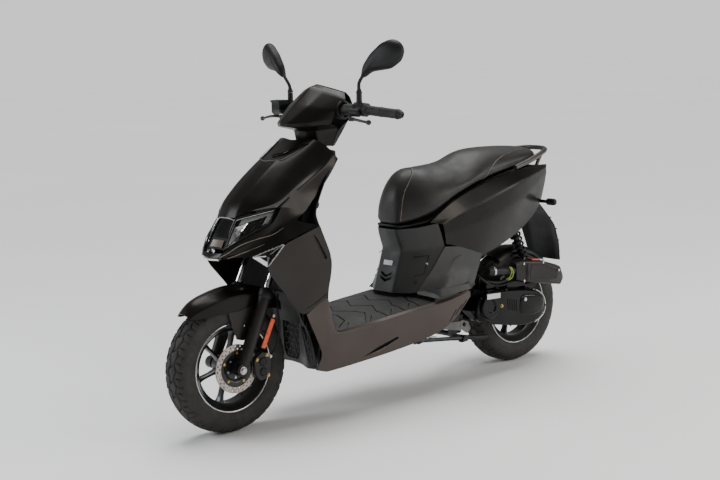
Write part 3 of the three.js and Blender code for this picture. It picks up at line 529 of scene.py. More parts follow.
def spoke(centre, angle):
    """A cast spoke with a shallow waist, its section a rounded bar."""
    out = Vector((0, -math.cos(angle), math.sin(angle)))
    along = Vector((0, math.sin(angle), math.cos(angle)))
    rings = []
    for radius, depth, breadth in ((24, 15, 12), (42, 14, 9), (72, 11, 7), (98, 11, 8), (114, 14, 11),
                                   (123, 17, 16)):
        corners = rounded([(-depth, -breadth), (depth, -breadth * 0.55), (depth, breadth * 0.55),
                           (-depth, breadth)], 4, 2)
        rings.append([centre + out * radius + Vector((p[0], 0, 0)) + along * p[1] for p in corners])
    return loft(rings)


def wheel(prefix, centre, body, node, hub_half):
    """Tyre, cast rim with six spokes, pinstripe and valve."""
    tyre(prefix + "_tyre_tread", centre, body, prefix + "_tyre")
    lip, well = 145, 42
    barrel = turned([
        (lip, well), (lip + 1, well - 2), (lip - 1, well - 5), (139, 37), (130, 25), (124, 20), (124, -20),
                     (130, -25),
        (139, -37), (lip - 1, 5 - well), (lip + 1, 2 - well), (lip, -well), (lip - 5, -well), (134, -36),
                     (126, -25),
        (118, -20), (118, 20), (126, 25), (134, 36), (lip - 5, well),
    ], centre, 96)
    hub = turned([
        (8.2, -hub_half), (24, -hub_half), (30, -hub_half + 4), (33, -18), (33, 18), (30, hub_half - 4),
        (24, hub_half), (8.2, hub_half),
    ], centre, 48)
    spokes = [spoke(centre, math.radians(-14 + 60 * k)) for k in range(6)]
    build(prefix + "_wheel_cast", [barrel, hub, *spokes], WHEEL, body, [node], 32)
    rings = []
    for x in (well + 0.6, -well - 0.6):
        at = centre + Vector((x, 0, 0))
        rings.append(turned([(lip - 0.5, 0.7), (lip + 1.2, 0), (lip - 0.5, -0.7), (lip - 2.6, 0)], at, 120))
    build(prefix + "_rim_stripe", rings, ZINC, body)
    foot = centre + Vector((0, math.cos(1.1) * 131, -math.sin(1.1) * 131))
    build(prefix + "_valve", [rod(foot, foot + Vector((0, -9, 18)) * 0.9, 3, 12),
                              bolt(foot, (0, -0.45, 0.9), 3.6, 7)],
          BLACK, body)


def brake_disc():
    """A drilled disc on a black dished carrier."""
    x0, x1, outer, inner = 55, 59, 80, 58
    ring = turned([(outer, x0), (outer, x1), (inner, x1), (inner, x0)], FRONT_AXLE, 120)
    disc = build("brake_disc_ring", [ring], DISC, "front_wheel", ["brake_disc"], 30)
    holes = []
    for k in range(24):
        for radius, turn in ((73.5, 0.0), (64.5, 0.5)):
            a = 2 * math.pi * (k + turn) / 24
            at = FRONT_AXLE + Vector((0, radius * math.cos(a), radius * math.sin(a)))
            holes.append(rod(at + Vector((x0 - 3, 0, 0)), at + Vector((x1 + 3, 0, 0)), 3.0, 12))
    carve(disc, holes)
    disc.data.set_sharp_from_angle(angle=math.radians(30))
    hub = turned([(16, 46.4), (38, 46.4), (45, 54), (60, 55), (60, 59.6), (50, 60.5), (42, 58), (36, 52),
                  (16, 51)], FRONT_AXLE, 60)
    build("disc_carrier", [hub], WHEEL, "front_wheel", (), 30)
    rows = (("disc_rivets", GOLD, 51, 58.6, 0.2, (4.6, 2.4, 16)),
            ("disc_bolts", ZINC, 30, 50.5, 0.9, (4, 3.4, 6)))
    for name, material, radius, x, turn, head in rows:
        parts = []
        for k in range(5):
            a = turn + 2 * math.pi * k / 5
            at = FRONT_AXLE + Vector((x, radius * math.cos(a), radius * math.sin(a)))
            parts.append(bolt(at, (1, 0, 0), *head))
        build(name, parts, material, "front_wheel")


wheel("front", FRONT_AXLE, "front_wheel", "front_rim", 46)
wheel("rear", REAR_AXLE, "rear_wheel", "rear_rim", 44)
brake_disc()


# ------------------------------------------------------------------ fork, mudguard and brake
def fork():
    """Lower legs with their boots, chrome stanchions, axle and side reflectors."""
    legs, boots, chrome = [], [], []
    for _, side in SIDES:
        x = side * FORK_SPREAD
        low, top = Vector((x, -652, 212)), steer_point(464, FORK_OFFSET, x)
        legs.append(stack(low, top, [(-0.03, 11), (0, 16), (0.06, 18.5), (0.2, 19.5), (0.3, 20.8), (0.86, 21),
                                     (0.9, 21.5)]))
        legs.append(rod((x - 15, *FRONT_AXLE[1:]), (x + 15, *FRONT_AXLE[1:]), 20, 36))
        boots.append(stack(low, top, [(0.885, 21.6), (0.895, 23.6), (0.95, 23.8), (0.985, 21), (0.99, 17),
                                      (1.01, 15)]))
        chrome.append(rod(steer_point(452, FORK_OFFSET, x), steer_point(598, FORK_OFFSET, x), 13.4, 36))
    build("fork_legs", legs, FORK, "fork_lower", ["fork_leg_left", "fork_leg_right"], 35, 0.8)
    build("fork_boots", boots, BLACK, "fork_lower")
    build("fork_stanchions", chrome, CHROME, "handlebars")
    finish_node("fork_upper", FRAME)
    nuts = [bolt(FRONT_AXLE + Vector((96.5, 0, 0)), (1, 0, 0), 9.5, 8),
            bolt(FRONT_AXLE - Vector((96.5, 0, 0)), (-1, 0, 0), 9.5, 8)]
    build("axle_nuts", [*nuts, rod(FRONT_AXLE - Vector((97, 0, 0)), FRONT_AXLE + Vector((97, 0, 0)), 7)],
          ZINC,
          "fork_lower", ["front_axle"])
    for name, side in SIDES:
        low = Vector((side * 96, -573, 276))
        high = Vector((side * 97, -528, 366))
        along = (high - low).normalized()
        width = Vector((0, along.z, -along.y)) * 9
        corners = (low + width, low - width, high - width, high + width)
        plate = [[p + Vector((side * depth, 0, 0)) for p in corners] for depth in (-3, 2)]
        build(f"reflector_{name}", [loft(plate)], AMBER, "fork_lower", (), 38, 2.5)
        middle = low.lerp(high, 0.5)
        tray = [[p - Vector((side * 3, 0, 0)) + (p - middle) * 0.06 for p in ring] for ring in plate]
        stalk = rod(middle, middle - Vector((side * 14, 14, -6)), 5)
        build(f"reflector_tray_{name}", [loft(tray), stalk], BLACK, "fork_lower", (), 38, 1.5)
        build(f"reflector_screw_{name}", [bolt(high + along * 9 - Vector((side * 2, 0, 0)), (side, 0, 0), 3.6,
                                               3, 12)], ZINC,
              "fork_lower")


def mudguard():
    """The front guard, and a flap down to each fork leg."""
    def ring(y, z, half, drop, lean):
        return [(0, y, z), (half * 0.55, y + 2, z - 7), (half, y + lean * 0.3, z - 26),
                (half + 1, y + lean, z - drop)]
    rows = both_sides([
        [(0, -813, 414), (20, -812, 410), (36, -806, 404), (38, -803, 399)], ring(-780, 446, 44, 50, 8),
                       ring(-726, 465, 54, 64, 12), ring(-670, 477, 57, 76, 14),
        ring(-622, 480, 58, 78, 10), ring(-560, 474, 57, 76, 4), ring(-500, 454, 54, 62, 2),
                       ring(-462, 430, 50, 50, 0),
    ])
    shell("mudguard", rows, (0, -650, 217), PAINT, "fork_lower", ["front_fender"], 3, 0.1, (),
          (1, 5))
    for name, side in SIDES:
        flap = [
            [(59, -676, 404), (61, -640, 404), (60, -572, 412)],
            [(59, -664, 360), (61, -634, 360), (60, -590, 360)],
            [(59, -648, 312), (60, -628, 306), (59, -612, 306)],
        ]
        shell(f"mudguard_flap_{name}", [flipped(r, side) for r in flap], (0, -640, 360), CHARCOAL_AND_SHADED_BRONZE,
              "fork_lower",
              (), 3, 0.2, (), (), 3)
        build(f"mudguard_screw_{name}", [bolt((side * 61, -617, 352), (side, 0, 0), 3, 2, 12)], ZINC,
              "fork_lower")


def caliper():
    """Brake caliper, its hose and the speedometer cable."""
    outer = rounded([(-598, 236), (-560, 262), (-528, 232), (-536, 176), (-572, 160), (-590, 180)], 14)
    inner = rounded([(-588, 232), (-560, 250), (-538, 228), (-544, 184), (-572, 172)], 12)
    bridge = rounded([(-562, 255), (-545, 255), (-530, 225), (-536, 176), (-560, 168)], 8)
    build("caliper_body", [slab(outer, 62.5, 76), slab(inner, 38, 53.5)], FRAME, "fork_lower",
          ["brake_caliper"], 35, 2.5)
    build("caliper_bridge", [slab([p for p in bridge if p[0] > -549], 40, 74)], FRAME, "fork_lower", (),
          35, 1.5)
    pistons = [stack((74, -562, z), (80, -562, z), [(0, 15), (0.6, 15), (1, 12)]) for z in (226, 192)]
    build("caliper_pistons", pistons, BLACK, "fork_lower", (), 35, 0.8)
    bolts = [bolt((76, -546, 246), (1, 0, 0), 4.6, 4), bolt((76, -543, 178), (1, 0, 0), 4.6, 4),
             bolt((76, -585, 236), (1, 0, 0), 4, 3)]
    build("caliper_bolts", bolts, GOLD, "fork_lower")
    hose = [(70, -532, 236), (74, -508, 262), (84, -496, 320), (86, -500, 392), (70, -486, 440)]
    build("brake_hose", [tube(hose, 3.4, 12)], BLACK, ("fork_lower", "handlebars", hose[1], hose[-1]))
    build("hose_union", [rod((70, -540, 240), (70, -524, 236), 6, 6),
                         bolt((74, -532, 238), (1, 0, 0), 4.5, 5)], ZINC, "fork_lower")
    cable = [(60, -650, 250), (66, -616, 300), (72, -566, 360), (66, -506, 424), (60, -486, 452)]
    build("speedometer_cable", [tube(cable, 2.4, 10)], BLACK,
          ("fork_lower", "handlebars", cable[1], cable[-1]))


fork()
mudguard()
caliper()


# ------------------------------------------------------------------ handlebar, its cover, levers and mirrors
GRIP_INNER, GRIP_OUTER = Vector((205, -197, 1021)), Vector((330, -164, 1007))


def bar_at(t, side=1):
    """The point a share t of the way along a grip."""
    p = GRIP_INNER.lerp(GRIP_OUTER, t)
    return Vector((side * p.x, p.y, p.z))


def bar_cover():
    """The handlebar's two shells, the dash, the bar's sleeves and the ignition lock."""
    front = both_sides([
        [(0, -236, 1104), (38, -226, 1096), (70, -204, 1084), (100, -194, 1076)],
        [(0, -262, 1098), (52, -250, 1084), (92, -226, 1070), (124, -212, 1054)],
        [(0, -330, 1042), (50, -318, 1036), (86, -288, 1026), (118, -250, 1022)],
        [(0, -391, 990), (32, -380, 986), (76, -330, 984), (112, -258, 992)],
        [(0, -388, 976), (34, -374, 972), (72, -322, 970), (104, -262, 976)],
        [(0, -318, 956), (34, -312, 955), (58, -286, 955), (70, -206, 958)],
        [(0, -312, 905), (30, -304, 905), (52, -278, 903), (64, -226, 900)],
    ])
    shell("bar_cover_front", front, (0, -215, 1010), PAINT, "handlebars", ["bar_cover"], 3,
          0.55,
          (1, 3, 4, 5), (1, 5), 3)
    rear = both_sides([
        [(0, -232, 1106), (38, -222, 1098), (70, -199, 1086), (101, -189, 1077)],
        [(0, -190, 1086), (40, -184, 1082), (76, -174, 1072), (106, -176, 1060)],
        [(0, -158, 1040), (44, -156, 1038), (82, -158, 1034), (112, -170, 1030)],
        [(0, -150, 990), (40, -150, 990), (76, -158, 990), (104, -176, 990)],
        [(0, -156, 950), (32, -158, 950), (56, -172, 948), (69, -203, 950)],
        [(0, -186, 902), (30, -190, 902), (48, -204, 900), (63, -224, 898)],
    ])
    shell("bar_cover_rear", rear, (0, -222, 1010), BLACK, "handlebars", ["dash"], 3, 0.45,
          (1, 3), (), 3)
    sockets, linings = [], []
    for _, side in SIDES:
        start, end = Vector((side * 94, -214, 1019)), Vector((side * 119, -213, 1021))
        sockets.append(stack(start, end, [(0, 30), (0.9, 32), (1, 30.5), (1, 25), (0.3, 24)], 40))
        linings.append(stack(Vector((side * 96, -215, 1019)), bar_at(-0.3, side),
                             [(0, 19), (0.5, 19), (0.8, 17), (1, 15)], 32))
    build("bar_sockets", sockets, BLACK, "handlebars", (), 40)
    build("bar_boots", linings, GRIP, "handlebars", (), 40)
    panel = rounded([(-62, 0), (-50, 52), (50, 52), (62, 0), (40, -14), (-40, -14)], 10)
    slope = Matrix.Rotation(math.radians(-52), 4, "X")

    def on_dash(points, lift):
        return [slope @ Vector((p[0], p[1], lift)) + Vector((0, -181, 1048)) for p in points]
    build("dash_bezel", [loft([on_dash(panel, -4), on_dash(panel, 9),
                               on_dash([p * 0.96 for p in panel], 11)])], BLACK,
          "handlebars", (), 38, 1.2)
    build("dash_screen", [loft([on_dash([p * 0.88 for p in panel], 10),
                                on_dash([p * 0.88 for p in panel], 12)])], SCREEN,
          "handlebars", (), 38, 0.6)
    marks = []
    for k in range(9):
        a = math.radians(200 - 27.5 * k)
        centre = on_dash([(math.cos(a) * 27, 18 + math.sin(a) * 22)], 12.2)[0]
        tip = on_dash([(math.cos(a) * 32, 18 + math.sin(a) * 27)], 12.2)[0]
        marks.append(rod(centre, tip, 0.7, 6))
    build("dash_ticks", marks, LABEL, "handlebars")
    screws = [bolt((0, -388, 983), (0, -1, 0), 3.4, 2, 14)]
    screws += [bolt((side * 46, -285, 928), (side, -0.5, 0), 3.6, 3, 14) for _, side in SIDES]
    build("bar_cover_screws", screws, ZINC, "handlebars")
    key_at = Vector((62, -300, 846))
    build("ignition_lock", [stack(key_at, key_at + Vector((0, 16, 9)), [(0, 15), (0.8, 15), (1, 12)])],
          CHROME, "chassis")


def grips():
    """Grips, bar ends, switch housings, levers and the brake reservoir."""
    finish_node("handlebar", FRAME)
    for name, side in SIDES:
        body = "handlebars" if side > 0 else "throttle"
        node = "grip_left" if side > 0 else "throttle_grip"
        a, b = bar_at(0.03, side), bar_at(1.01, side)
        along = (b - a).normalized()
        u = along.orthogonal().normalized()
        v = along.cross(u)
        rings = []
        for i in range(97):
            t = i / 96
            ribbed = 0.10 < t < 0.95
            ring = []
            for k in range(48):
                angle = 2 * math.pi * k / 48
                wave = math.sin(8 * angle + 40 * t) * math.sin(8 * angle - 40 * t)
                radius = 15.7 + (0.75 * wave if ribbed else 0.4)
                if t < 0.045:
                    radius = 22.5
                elif t < 0.07:
                    radius = 19
                if 0.46 < t < 0.50 or t > 0.965:
                    radius = 16.9
                ring.append(a.lerp(b, t) + (u * math.cos(angle) + v * math.sin(angle)) * radius)
            rings.append(ring)
        build(f"grip_rubber_{name}", [loft(rings)], GRIP, body, [node], 50)
        weight = stack(bar_at(1.022, side), bar_at(1.13, side),
                       [(0, 14.6), (0.35, 15), (0.5, 14.6), (0.62, 11), (0.95, 10), (1, 8)], 36)
        build(f"bar_end_{name}", [weight], FORK, "handlebars", (), 30, 0.5)
        finish_node(f"switch_{name}", BLACK)
        collar = stack(bar_at(-0.30, side), bar_at(0.025, side),
                       [(0, 20), (0.04, 22.4), (0.3, 22.8), (0.34, 22), (0.38, 22.8), (0.94, 22.6), (1, 20)],
                       36)
        perch = [rod((side * 187, -206, 1034), (side * 187, -204, 1074.3), 9.4, 24),
                 rod((side * 174, -231, 1014), (side * 206, -223, 1012), 13.4, 24)]
        build(f"switch_housing_{name}", [collar, *perch], BLACK, "handlebars", (), 35, 0.7)
        blade = [(side * x, y, z) for x, y, z in ((190, -243, 994), (210, -256, 996), (230, -262, 995),
                                                  (262, -260, 990), (288, -254, 986))]
        ball = stack((side * 281, -256, 987), (side * 298, -252, 985),
                     [(0, 4), (0.1, 6), (0.3, 8), (0.55, 8.6), (0.8, 7), (0.95, 4), (1, 1)], 24)
        pivot = stack((side * 190, -243, 986.6), (side * 190, -243, 999.6),
                      [(0, 8), (0.05, 9.4), (0.95, 9.4), (1, 8)], 24)
        build(f"lever_blade_{name}", [tube(blade, (6.5, 5.6, 5.2, 4.8), 16, 8, 0.72), ball, pivot], ALLOY,
              f"lever_{name}",
              [f"brake_lever_{name}"], 40)
    finish_node("horn_button", FRAME)
    finish_node("starter_button", RED)
    tank = rounded([(-262, 1016), (-226, 1016), (-226, 1046), (-262, 1046)], 6)
    build("brake_reservoir", [slab(tank, -223, -177),
                              slab(rounded([(-265, 1044), (-223, 1044), (-223, 1051), (-265, 1051)], 2), -225,
                                   -175)],
          BLACK, "handlebars", (), 35, 1)
    build("reservoir_screws", [bolt((x, -244, 1050.6), (0, 0, 1), 3, 2, 12) for x in (-216, -184)], ZINC,
          "handlebars")
    hose = [(-196, -246, 1010), (-150, -250, 1000), (-118, -236, 1008), (-98, -222, 1014)]
    cable = [(190, -240, 1004), (158, -244, 996), (124, -230, 1010), (98, -220, 1016)]
    gas = [(-190, -205, 1000), (-160, -222, 1002), (-126, -220, 1012), (-98, -212, 1016)]
    build("bar_cables", [tube(hose, 3.2, 12), tube(cable, 2.8, 12), tube(gas, 2.8, 12)], BLACK, "handlebars")


def mirrors():
    """A bulged case, a glass and a bent stem on each side, out to the object's full width and height."""
    outline = [(209, 1121), (218, 1160), (254, 1203), (298, 1236), (333, 1246), (362, 1233), (374, 1209),
               (362, 1177), (322, 1152), (246, 1143)]
    middle = Vector((292, 1192))
    edge = rounded(outline, 13, 3)
    top = max(p.y for p in edge)
    lift = HEIGHT - top
    wide = HALF_WIDTH - max(p.x for p in edge)
    edge = [Vector((p.x + wide * (p.x - 209) / 165, p.y + lift * (p.y - 1121) / 125)) for p in edge]

    def ring(scale, push, side):
        out = []
        for p in edge:
            q = middle + (p - middle) * scale
            out.append((side * q.x, -190 + 0.22 * (q.x - 295) + push, q.y))
        return out
    for name, side in SIDES:
        rings = [ring(s, d, side) for s, d in ((0.93, 8.6), (0.975, 9), (0.995, 6), (1.0, 2), (0.985, -4),
                                               (0.94, -10), (0.82, -17), (0.6, -22), (0.3, -24.4))]
        stem = [(side * x, y, z) for x, y, z in ((187, -204, 1076), (188, -205, 1095), (196, -208, 1112),
                                                 (224, -208, 1142), (250, -206, 1164))]
        boot = stack((side * 187, -204, 1074.7), (side * 187.5, -204, 1090),
                     [(0, 9.5), (0.45, 9.5), (0.5, 8), (1, 6.4)], 24)
        hex_nut = rod((side * 187, -204, 1075), (side * 187, -204, 1082), 10, 6)
        build(f"mirror_case_{name}", [loft(rings), tube(stem, 5.6, 14), boot, hex_nut], BLACK,
              f"mirror_{name}",
              [f"mirror_{name}"], 42, 0.6)
        build(f"mirror_face_{name}", [loft([ring(0.925, 8.7, side), ring(0.92, 9.6, side)])], MIRROR,
              f"mirror_{name}")


bar_cover()
grips()
mirrors()


# ------------------------------------------------------------------ front bodywork
NOSE = both_sides([
    [(0, -345, 928), (50, -338, 932), (98, -322, 929), (125, -300, 908), (142, -284, 884), (151, -274, 866)],
    [(0, -462, 867), (50, -448, 869), (98, -398, 872), (130, -352, 856), (149, -330, 846), (152, -304, 826)],
    [(0, -540, 808), (50, -532, 808), (98, -486, 806), (132, -430, 800), (150, -401, 806), (155, -350, 778)],
    [(0, -600, 752), (50, -594, 750), (98, -556, 748), (132, -506, 748), (150, -470, 768), (160, -392, 744)],
    [(0, -630, 702), (46, -622, 703), (64, -606, 718), (112, -562, 728), (151, -528, 734), (168, -430, 712)],
])
CHIN = both_sides([
    [(0, -690, 594), (58, -684, 597), (96, -640, 634), (151, -558, 682), (156, -515, 733), (168, -430, 713)],
    [(0, -699, 582), (50, -690, 582), (92, -652, 606), (142, -576, 652), (160, -520, 676), (175, -471, 688)],
    [(0, -690, 572), (48, -680, 574), (84, -654, 582), (122, -622, 586), (190, -532, 626), (204, -412, 666)],
])


def front_cover():
    """Nose with its V-shaped intake and chin, with painted highlights: thin lines of light beige paint along the
    intake's edges and the chin's ridges.
    """
    outer = [(0, -463, 867), (60, -437, 873), (84, -368, 905), (91, -343, 921)]
    inner = [(62, -350, 925), (38, -405, 894), (0, -430, 883)]
    loop = outer + inner + [(-x, y, z) for x, y, z in inner[1::-1]] + [(-x, y, z) for x, y, z in outer[:0:-1]]
    up = Vector((0, -0.45, 0.89))

    def level(drop):
        return [Vector(p) - up * drop for p in loop]
    shell("front_fairing", NOSE, (0, -330, 760), PAINT, "chassis", ["front_cover"], 3, 0.28, (),
          (1, 4, 6, 9), 3,
          [loft([level(14), level(-22)])])
    build("nose_intake", [loft([level(7), level(10)])], CHARCOAL_AND_SHADED_BRONZE, "chassis", (), 30)
    walls = build("nose_intake_walls", [loft([level(2), level(8)], False)], PAINT, "chassis",
                  (), 30)
    walls.modifiers.new("Solidify", "SOLIDIFY").thickness = 0.0015
    shell("front_chin", CHIN, (0, -500, 640), PAINT, "chassis", (), 3, 0.25, (1,), (1, 4, 6, 9),
          3)
    for name, side in SIDES:
        # Painted highlight: the chin's ridges are laid as thin tubes of light beige paint, standing for the
        # light they catch.
        ridges = [
            tube(flipped([(50, -691, 583), (72, -672, 598), (98, -641, 621), (128, -598, 638),
                          (158, -559, 650), (166, -520, 668)], side),
                 (1.6, 2.0, 1.6, 0.6), 10, 8),
            tube(flipped([(70, -674, 580), (92, -651, 591), (120, -615, 606), (147, -583, 622)], side),
                 (1.6, 1.8, 0.7), 10, 8),
        ]
        build(f"chin_ridges_{name}", ridges, HIGHLIGHT_AND_LENS_BEIGE, "chassis")
        # Painted highlight: a light beige line along each outer arm of the intake's V, standing for the light
        # its edge catches.
        edge = flipped([(0, -464, 867.5), (30, -452, 870), (60, -437, 873.5), (74, -402, 890),
                        (84, -368, 905.5)], side)
        build(f"intake_edge_{name}", [tube(edge, (1.3, 1.3, 0.6), 8, 6)], HIGHLIGHT_AND_LENS_BEIGE, "chassis")
    lip = tube([(-44, -690, 575), (-24, -695, 575), (0, -698, 574), (24, -695, 575), (44, -690, 575)], 2.6,
               10, 6, 1.6)
    build("chin_lip", [lip], CHROME, "chassis")


def sheet(rows, thick):
    """A grid of points, front rows from the top down, given a thickness towards the back."""
    def part(bm):
        front = [[bm.verts.new(p) for p in row] for row in rows]
        rear = [[bm.verts.new(p + Vector((0, thick, 0))) for p in row] for row in rows]
        n, m = len(rows), len(rows[0])
        for i in range(n - 1):
            for j in range(m - 1):
                bm.faces.new((front[i][j], front[i + 1][j], front[i + 1][j + 1], front[i][j + 1]))
                bm.faces.new((rear[i][j], rear[i][j + 1], rear[i + 1][j + 1], rear[i + 1][j]))
        for j in range(m - 1):
            bm.faces.new((front[0][j], front[0][j + 1], rear[0][j + 1], rear[0][j]))
            bm.faces.new((front[-1][j], rear[-1][j], rear[-1][j + 1], front[-1][j + 1]))
        for i in range(n - 1):
            bm.faces.new((front[i][0], rear[i][0], rear[i + 1][0], front[i + 1][0]))
            bm.faces.new((front[i][-1], front[i + 1][-1], rear[i + 1][-1], rear[i][-1]))
    return part


def leaf(ring, side):
    """A flat plate 3 mm thick from a ring of points, its back towards the middle of the scooter."""
    return loft([ring, [(x - side * 3, y, z) for x, y, z in ring]])


def headlight():
    """Two angled lamp units beside a dark centre: a frosted band, fins and a faceted reflector in each."""
    centre = Vector((0, -600, 665))

    def face(s, t, side, depth=0.0):
        """A point over the left unit: s from the centre outwards, t from the top down, depth behind the lens."""
        top = Vector((50, -617, 702)).lerp(Vector((150, -531, 729)), s)
        if s < 0.62:
            low = Vector((57, -679, 601)).lerp(Vector((94, -636, 638)), s / 0.62)
        else:
            low = Vector((94, -636, 638)).lerp(Vector((148, -556, 685)), (s - 0.62) / 0.38)
        bulge = 9 * math.sin(math.pi * t)
        p = top.lerp(low, t) + Vector((0.45, -0.8, 0.1)) * bulge * 0.4
        p = centre + (p - centre) * 0.975 + Vector((-0.35, 0.93, -0.1)) * depth
        return Vector((side * p.x, p.y, p.z))

    def patch(s0, s1, t0, t1, side, depth, n=9, thick=2.0):
        return sheet([[face(s0 + (s1 - s0) * j / n, t0 + (t1 - t0) * i / n, side, depth)
                       for j in range(n + 1)]
                      for i in range(n + 1)], thick)

    outline_s = [(0.0, 0.02), (0.25, 0.0), (0.5, 0.0), (0.75, 0.0), (1.0, 0.0), (1.0, 0.5), (1.0, 1.0),
                 (0.8, 1.0), (0.62, 1.0),
                 (0.4, 1.0), (0.2, 1.0), (0.0, 1.0), (0.0, 0.66), (0.0, 0.33)]
    for name, side in SIDES:
        rim = [face(s, t, side, -1.5) for s, t in outline_s]
        build(f"lamp_rim_{name}", [tube([*rim, rim[0]], 2.4, 8, 0)], BLACK, "chassis")
        line = [face(s * 0.94 + 0.03, t * 0.88 + 0.06, side, -2.2) for s, t in outline_s]
        build(f"lamp_line_{name}", [tube([*line[:7]], 0.9, 6, 0), tube([*line[9:], line[0]], 0.9, 6, 0)],
              ZINC, "chassis")
        build(f"lamp_bowl_{name}", [patch(0.0, 1.0, 0.0, 1.0, side, 20)], BLACK, "chassis")
        build(f"lamp_band_{name}", [patch(0.14, 0.93, 0.09, 0.27, side, 5),
                                    patch(0.86, 0.95, 0.25, 0.80, side, 6)], FROST, "chassis")
        fins = []
        for k in range(5):
            s = 0.46 + 0.078 * k
            top_edge = [face(s, 0.34, side, 7), face(s + 0.035, 0.34, side, 7)]
            low_edge = [face(s - 0.03, 0.84, side, 9), face(s + 0.005, 0.84, side, 9)]
            fins.append(sheet([top_edge, low_edge], 8))
        build(f"lamp_fins_{name}", fins, FORK, "chassis")
        shares = [k / 8 for k in range(9)]
        cup = [[face(0.05 + 0.36 * u, 0.30 + 0.62 * v, side,
                     17 - 12 * max(abs(2 * u - 1), abs(2 * v - 1)) ** 1.5)
                for u in shares] for v in shares]
        build(f"lamp_reflector_{name}", [sheet(cup, 1.5)], CHROME, "chassis", (), 5)
        bulb = face(0.22, 0.58, side, 12)
        build(f"lamp_projector_{name}", [stack(bulb, bulb + Vector((side * 2, -7, 0)),
                                               [(0, 9), (0.5, 9), (0.8, 7), (1, 3)], 32)], FROST,
              "chassis", (), 30)
        build(f"lamp_swoosh_{name}", [sheet([[face(0.03, 0.86, side, 5), face(0.36, 0.90, side, 5)],
                                             [face(0.03, 0.96, side, 3), face(0.48, 0.985, side, 3)]], 2)],
              CHROME, "chassis")
        build(f"lamp_glass_{name}", [patch(0.01, 0.99, 0.03, 0.97, side, -0.5, 12, 1.2)], GLASS, "chassis")
    corners = [Vector(p) for p in ((-43, -621, 697), (43, -621, 697), (54, -677, 604), (-54, -677, 604))]

    def visor(low, high, inset, deep):
        """A band of the centre plate between two heights, as shares from the top down."""
        return [[corners[0].lerp(corners[3], t).lerp(corners[1].lerp(corners[2], t),
                                                     inset + (1 - 2 * inset) * j / 6)
                 + Vector((0, deep + 3 * math.sin(math.pi * j / 6), 0)) for j in range(7)]
                for t in [low + (high - low) * i / 6 for i in range(7)]]
    build("lamp_visor", [sheet(visor(0, 1, 0, 8), 6)], BLACK, "chassis", ["headlight"])
    build("lamp_visor_plate", [sheet(visor(0.08, 0.62, 0.10, 3), 3)], ENGINE, "chassis", (),
          30, 1)
    build("lamp_position_light", [sheet(visor(0.70, 0.93, 0.20, 2), 3)], HIGHLIGHT_AND_LENS_BEIGE, "chassis", (),
          30, 1)
    brow = [tube([(-41, -623, 695), (-22, -627, 699.5), (0, -628, 700.5), (22, -627, 699.5), (41, -623, 695)],
                 (1.2, 2.2, 1.2), 8, 6)]
    build("lamp_brow", brow, FROST, "chassis")
    backing = [box((-66, -578, 650), (66, -552, 724)), box((-88, -404, 325), (88, -396, 420))]
    backing += [box((side * 100 - 30, -352, 185), (side * 100 + 30, -330, 240)) for _, side in SIDES]
    build("front_backing", backing, BLACK, "chassis")
    slant = [tube([(side * 46, -622, 698), (side * 50, -645, 664), (side * 52, -655, 645)], (2.2, 0.8), 8, 6)
             for _, side in SIDES]
    build("lamp_pillars", slant, CHROME, "chassis")


def indicators():
    """Three-cornered front indicators: a dish, a dark core, ribs and a glass."""
    for name, side in SIDES:
        a, b, c = (Vector((side * x, y, z)) for x, y,
                   z in ((122, -619, 582), (189, -529, 623), (175, -595, 551)))
        middle = (a + b + c) / 3
        back = Vector((-side * 0.75, 0.55, 0))
        corners = [a, b, c]

        def ring(scale, depth):
            pts = []
            for i, p in enumerate(corners):
                q = corners[(i + 1) % 3]
                pts += [middle + (p.lerp(q, t) - middle) * scale + back * depth
                        for t in (0.04, 0.35, 0.65, 0.96)]
            return pts
        build(f"indicator_dish_{name}", [loft([ring(0.95, 24), ring(0.95, 20), ring(0.62, 10)])], CHROME,
              "chassis",
              [f"indicator_front_{name}"], 20)
        build(f"indicator_core_{name}", [loft([ring(0.52, 3), ring(0.60, 12)]),
                                         loft([ring(0.20, -1), ring(0.3, 6)])], BLACK, "chassis",
              (), 20)
        edge = [p - back * 2.5 for p in ring(0.93, 0.0)]
        build(f"indicator_edge_{name}", [tube([*edge, edge[0]], 2.2, 8, 0)], ZINC, "chassis")
        bars = [tube([middle.lerp(p, 0.12), middle.lerp(p, 0.86)], (3.4, 1.2), 8, 0) for p in corners]
        build(f"indicator_ribs_{name}", bars, CHROME, "chassis")
        build(f"indicator_glass_{name}", [loft([ring(0.96, 2), ring(0.9, 0), ring(0.5, -2.5)])], GLASS,
              "chassis", (), 30)


def honeycomb(corner_rows, cell, bar, material, name, body):
    """A hexagon mesh laid over the four-sided patch corner_rows = ((top a, top b), (low a, low b))."""
    (p00, p01), (p10, p11) = [[Vector(p) for p in row] for row in corner_rows]
    wide = (p01 - p00).length
    tall = (p10 - p00).length
    parts = []

    def at(u, v):
        return p00.lerp(p01, u).lerp(p10.lerp(p11, u), v)
    step_u, step_v = cell * math.sqrt(3) / wide, cell * 1.5 / tall
    for i in range(-1, int(1 / step_v) + 2):
        for j in range(-1, int(1 / step_u) + 2):
            u = (j + 0.5 * (i % 2)) * step_u
            v = i * step_v
            corners = [(u + cell / wide * math.sin(a), v + cell / tall * math.cos(a))
                       for a in (math.radians(60 * k) for k in range(4))]
            for a, b in zip(corners, corners[1:]):
                if all(-0.02 <= x <= 1.02 for x in (*a, *b)):
                    parts.append(rod(at(*a), at(*b), bar, 6))
    return build(name, parts, material, body)


